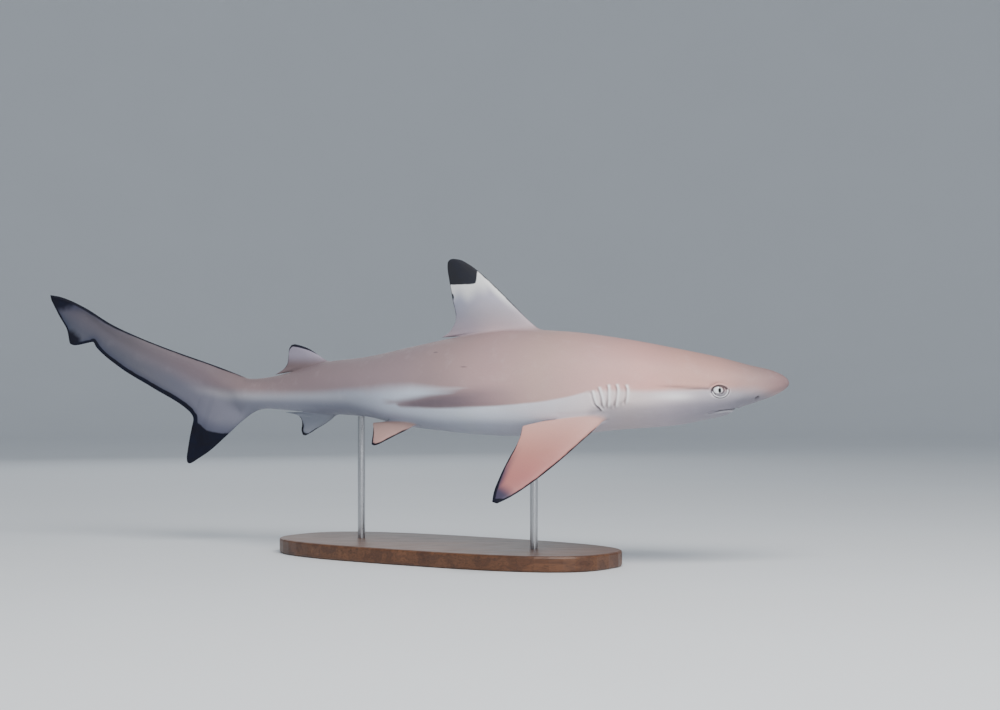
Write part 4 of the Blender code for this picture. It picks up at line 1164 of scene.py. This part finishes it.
# painted shade in slits, grooves, nostrils, mouth, vent and eye sockets, partly dark lid
# rims
colour = m.mix(m.times(m.attribute("cave"), 0.88), colour, linear(42, 37, 45))
m.surface(Base_Color=colour, Specular_IOR_Level=0.2,
          Roughness=m.add(m.fade(mottle, 0.3, 0.7, 0.42, 0.56), m.times(ink, 0.25)),
          Normal=m.bump(m.add(grain, m.times(mottle, 1.6)), 0.25, 0.0006))
skin.data.materials.append(m.mat)

PUPIL_UP, PUPIL_TALL, PUPIL_WIDE = 0.0013, 0.0042, 0.0021  # place, half height and width
m = Nodes("shark_eye")
place = m.place()
x, _, z = m.new("ShaderNodeSeparateXYZ", {0: place}).outputs
z = m.less(z, PUPIL_UP)
rim = m.math("SQRT", m.add(m.times(x, x), m.times(z, z)))
fibres = m.noise(place, 900, 3)
iris = m.mix(m.fade(rim, 0.0020, 0.0085), linear(255, 255, 255), linear(244, 246, 250))
iris = m.mix(m.fade(fibres, 0.4, 0.7, 0.0, 0.12), iris, linear(160, 162, 168))
iris = m.mix(m.fade(rim, 0.0072, 0.0092), iris, linear(96, 96, 104))
# the pupil is an upright oval, a little pointed at both ends
tall = m.math("DIVIDE", z, PUPIL_TALL)
tall = m.less(1.0, m.times(tall, tall))
slit = m.less(m.times(tall, PUPIL_WIDE), m.math("ABSOLUTE", x))
ring = m.fade(slit, -0.0009, -0.0001, 0.0, 0.5)
iris = m.mix(ring, iris, linear(120, 120, 124))
iris = m.mix(m.fade(slit, -0.0002, 0.0002), iris, (0.003, 0.003, 0.004))
m.surface(Base_Color=iris, Roughness=0.06, Coat_Weight=0.6)
eye_mat = m.mat

m = Nodes("stand_walnut")
place = m.place()
bands = m.noise(place, 22, 5, 0.6, (0.25, 2.4, 2.4))
rings = m.math("FRACT", m.times(bands, 9.0))
pores = m.noise(place, 420, 3, 0.6, (0.06, 1.0, 1.0))
colour = m.mix(m.fade(bands, 0.3, 0.7), linear(112, 74, 49), linear(78, 48, 32))
colour = m.mix(m.fade(rings, 0.15, 1.0, 0.0, 0.45), colour, linear(54, 33, 24))
colour = m.mix(m.fade(pores, 0.56, 0.72, 0.0, 0.6), colour, linear(38, 24, 18))
m.surface(Base_Color=colour, Roughness=m.fade(pores, 0.3, 0.8, 0.32, 0.5),
          Normal=m.bump(m.less(1.0, pores), 0.2, 0.0004))
wood = m.mat

m = Nodes("stand_steel")
place = m.place()
lines = m.noise(place, 500, 3, 0.6, (1.0, 1.0, 0.03))
smudge = m.noise(place, 30, 3)
m.surface(Base_Color=m.mix(lines, linear(176, 177, 180), linear(206, 206, 208)),
          Metallic=1.0, Roughness=m.add(m.fade(lines, 0.3, 0.7, 0.2, 0.34),
                                        m.fade(smudge, 0.5, 0.8, 0.0, 0.08)),
          Normal=m.bump(lines, 0.12, 0.0003))
steel = m.mat

for node, mat in (("stand_base", wood), ("stand_rod_front", steel),
                  ("stand_rod_rear", steel)):
    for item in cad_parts[node].material_slots:
        item.material = mat

# -------------------------------------------------------------------- eyes
yaw = math.radians(float(yaw_at(EYE_STATION)))
for name in ("right", "left"):
    bm = bmesh.new()
    bmesh.ops.create_uvsphere(bm, u_segments=96, v_segments=64, radius=EYE_RADIUS,
                              matrix=Matrix.Rotation(math.pi / 2, 4, "X"))
    ball = bpy.data.meshes.new("eyeball_" + name)
    bm.to_mesh(ball)
    bm.free()
    ball.shade_smooth()
    ball.materials.append(eye_mat)
    eye = new_object("eyeball_" + name, ball)
    eye.matrix_world = Matrix.Translation(bend(eye_centres[name])) \
        @ Matrix.Rotation(yaw, 4, "Z")
    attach(eye, "root")
    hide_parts("eye_" + name)

flesh = [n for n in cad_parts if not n.startswith(("stand_", "eye_"))]
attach(skin, "root")
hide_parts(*flesh)

# ------------------------------------------------------------------ studio
m = Nodes("studio_floor")
place = m.place()
m.surface(Base_Color=m.mix(m.noise(place, 3, 2), linear(214, 218, 222),
                           linear(218, 222, 226)), Roughness=0.7)
# a round bowl: flat floor, then a wide sweep up to a low wall
FLAT, SWEEP, WALL_TOP = 4.6, 2.4, 3.4
profile = [(r, 0.0) for r in (0.9, 2.2, FLAT)]
profile += [(FLAT + SWEEP * math.sin(a), SWEEP - SWEEP * math.cos(a))
            for a in np.linspace(0, math.pi / 2, 25)[1:]] + [(FLAT + SWEEP, WALL_TOP)]
ring = 96
grid = [(0, 0, 0)] + [(r * math.cos(math.tau * k / ring),
                       r * math.sin(math.tau * k / ring), z)
                      for r, z in profile for k in range(ring)]
sides = [(0, 1 + k, 1 + (k + 1) % ring) for k in range(ring)]
sides += [(1 + i * ring + k, 1 + (i + 1) * ring + k, 1 + (i + 1) * ring + (k + 1) % ring,
           1 + i * ring + (k + 1) % ring)
          for i in range(len(profile) - 1) for k in range(ring)]
sweep = bpy.data.meshes.new("studio_sweep")
sweep.from_pydata(grid, [], sides)
sweep.shade_smooth()
sweep.materials.append(m.mat)
floor = new_object("studio_sweep", sweep)
floor.location = (0, 0, -0.0002)                # just under the stand's feet

world = bpy.data.worlds.new("studio")
world.use_nodes = True
sky = world.node_tree.nodes["Background"].inputs
sky["Color"].default_value, sky["Strength"].default_value = (0.82, 0.9, 1.0, 1), 0.42
bpy.context.scene.world = world


def lamp(name, place, aim, size, power_w, tint):
    light = bpy.data.lights.new(name, "AREA")
    light.shape = "RECTANGLE"
    light.size, light.size_y = size
    light.energy = power_w
    light.color = tint
    obj = new_object(name, light)
    obj.location = place
    obj.rotation_euler = (Vector(aim) - Vector(place)).to_track_quat("-Z", "Y").to_euler()
    obj.visible_camera = False


lamp("key", (0.6, -1.9, 2.35), (0.05, 0, 0.25), (2.2, 1.3), 112, (1.0, 0.97, 0.93))
lamp("fill", (1.4, -2.6, 0.9), (0.1, 0, 0.25), (1.6, 1.2), 14, (0.9, 0.95, 1.0))
lamp("back", (-0.8, 2.7, 1.2), (0, 0, 0.3), (2.4, 1.4), 10, (0.95, 0.98, 1.0))

camera = new_object("camera", bpy.data.cameras.new("camera"))
camera.data.lens = 75.6
camera.data.sensor_width = 36.0
camera.location = (0.079765, -3.056535, 0.2958)
camera.rotation_euler = (math.pi / 2, 0, 0)
bpy.context.scene.camera = camera

bpy.context.view_layer.update()
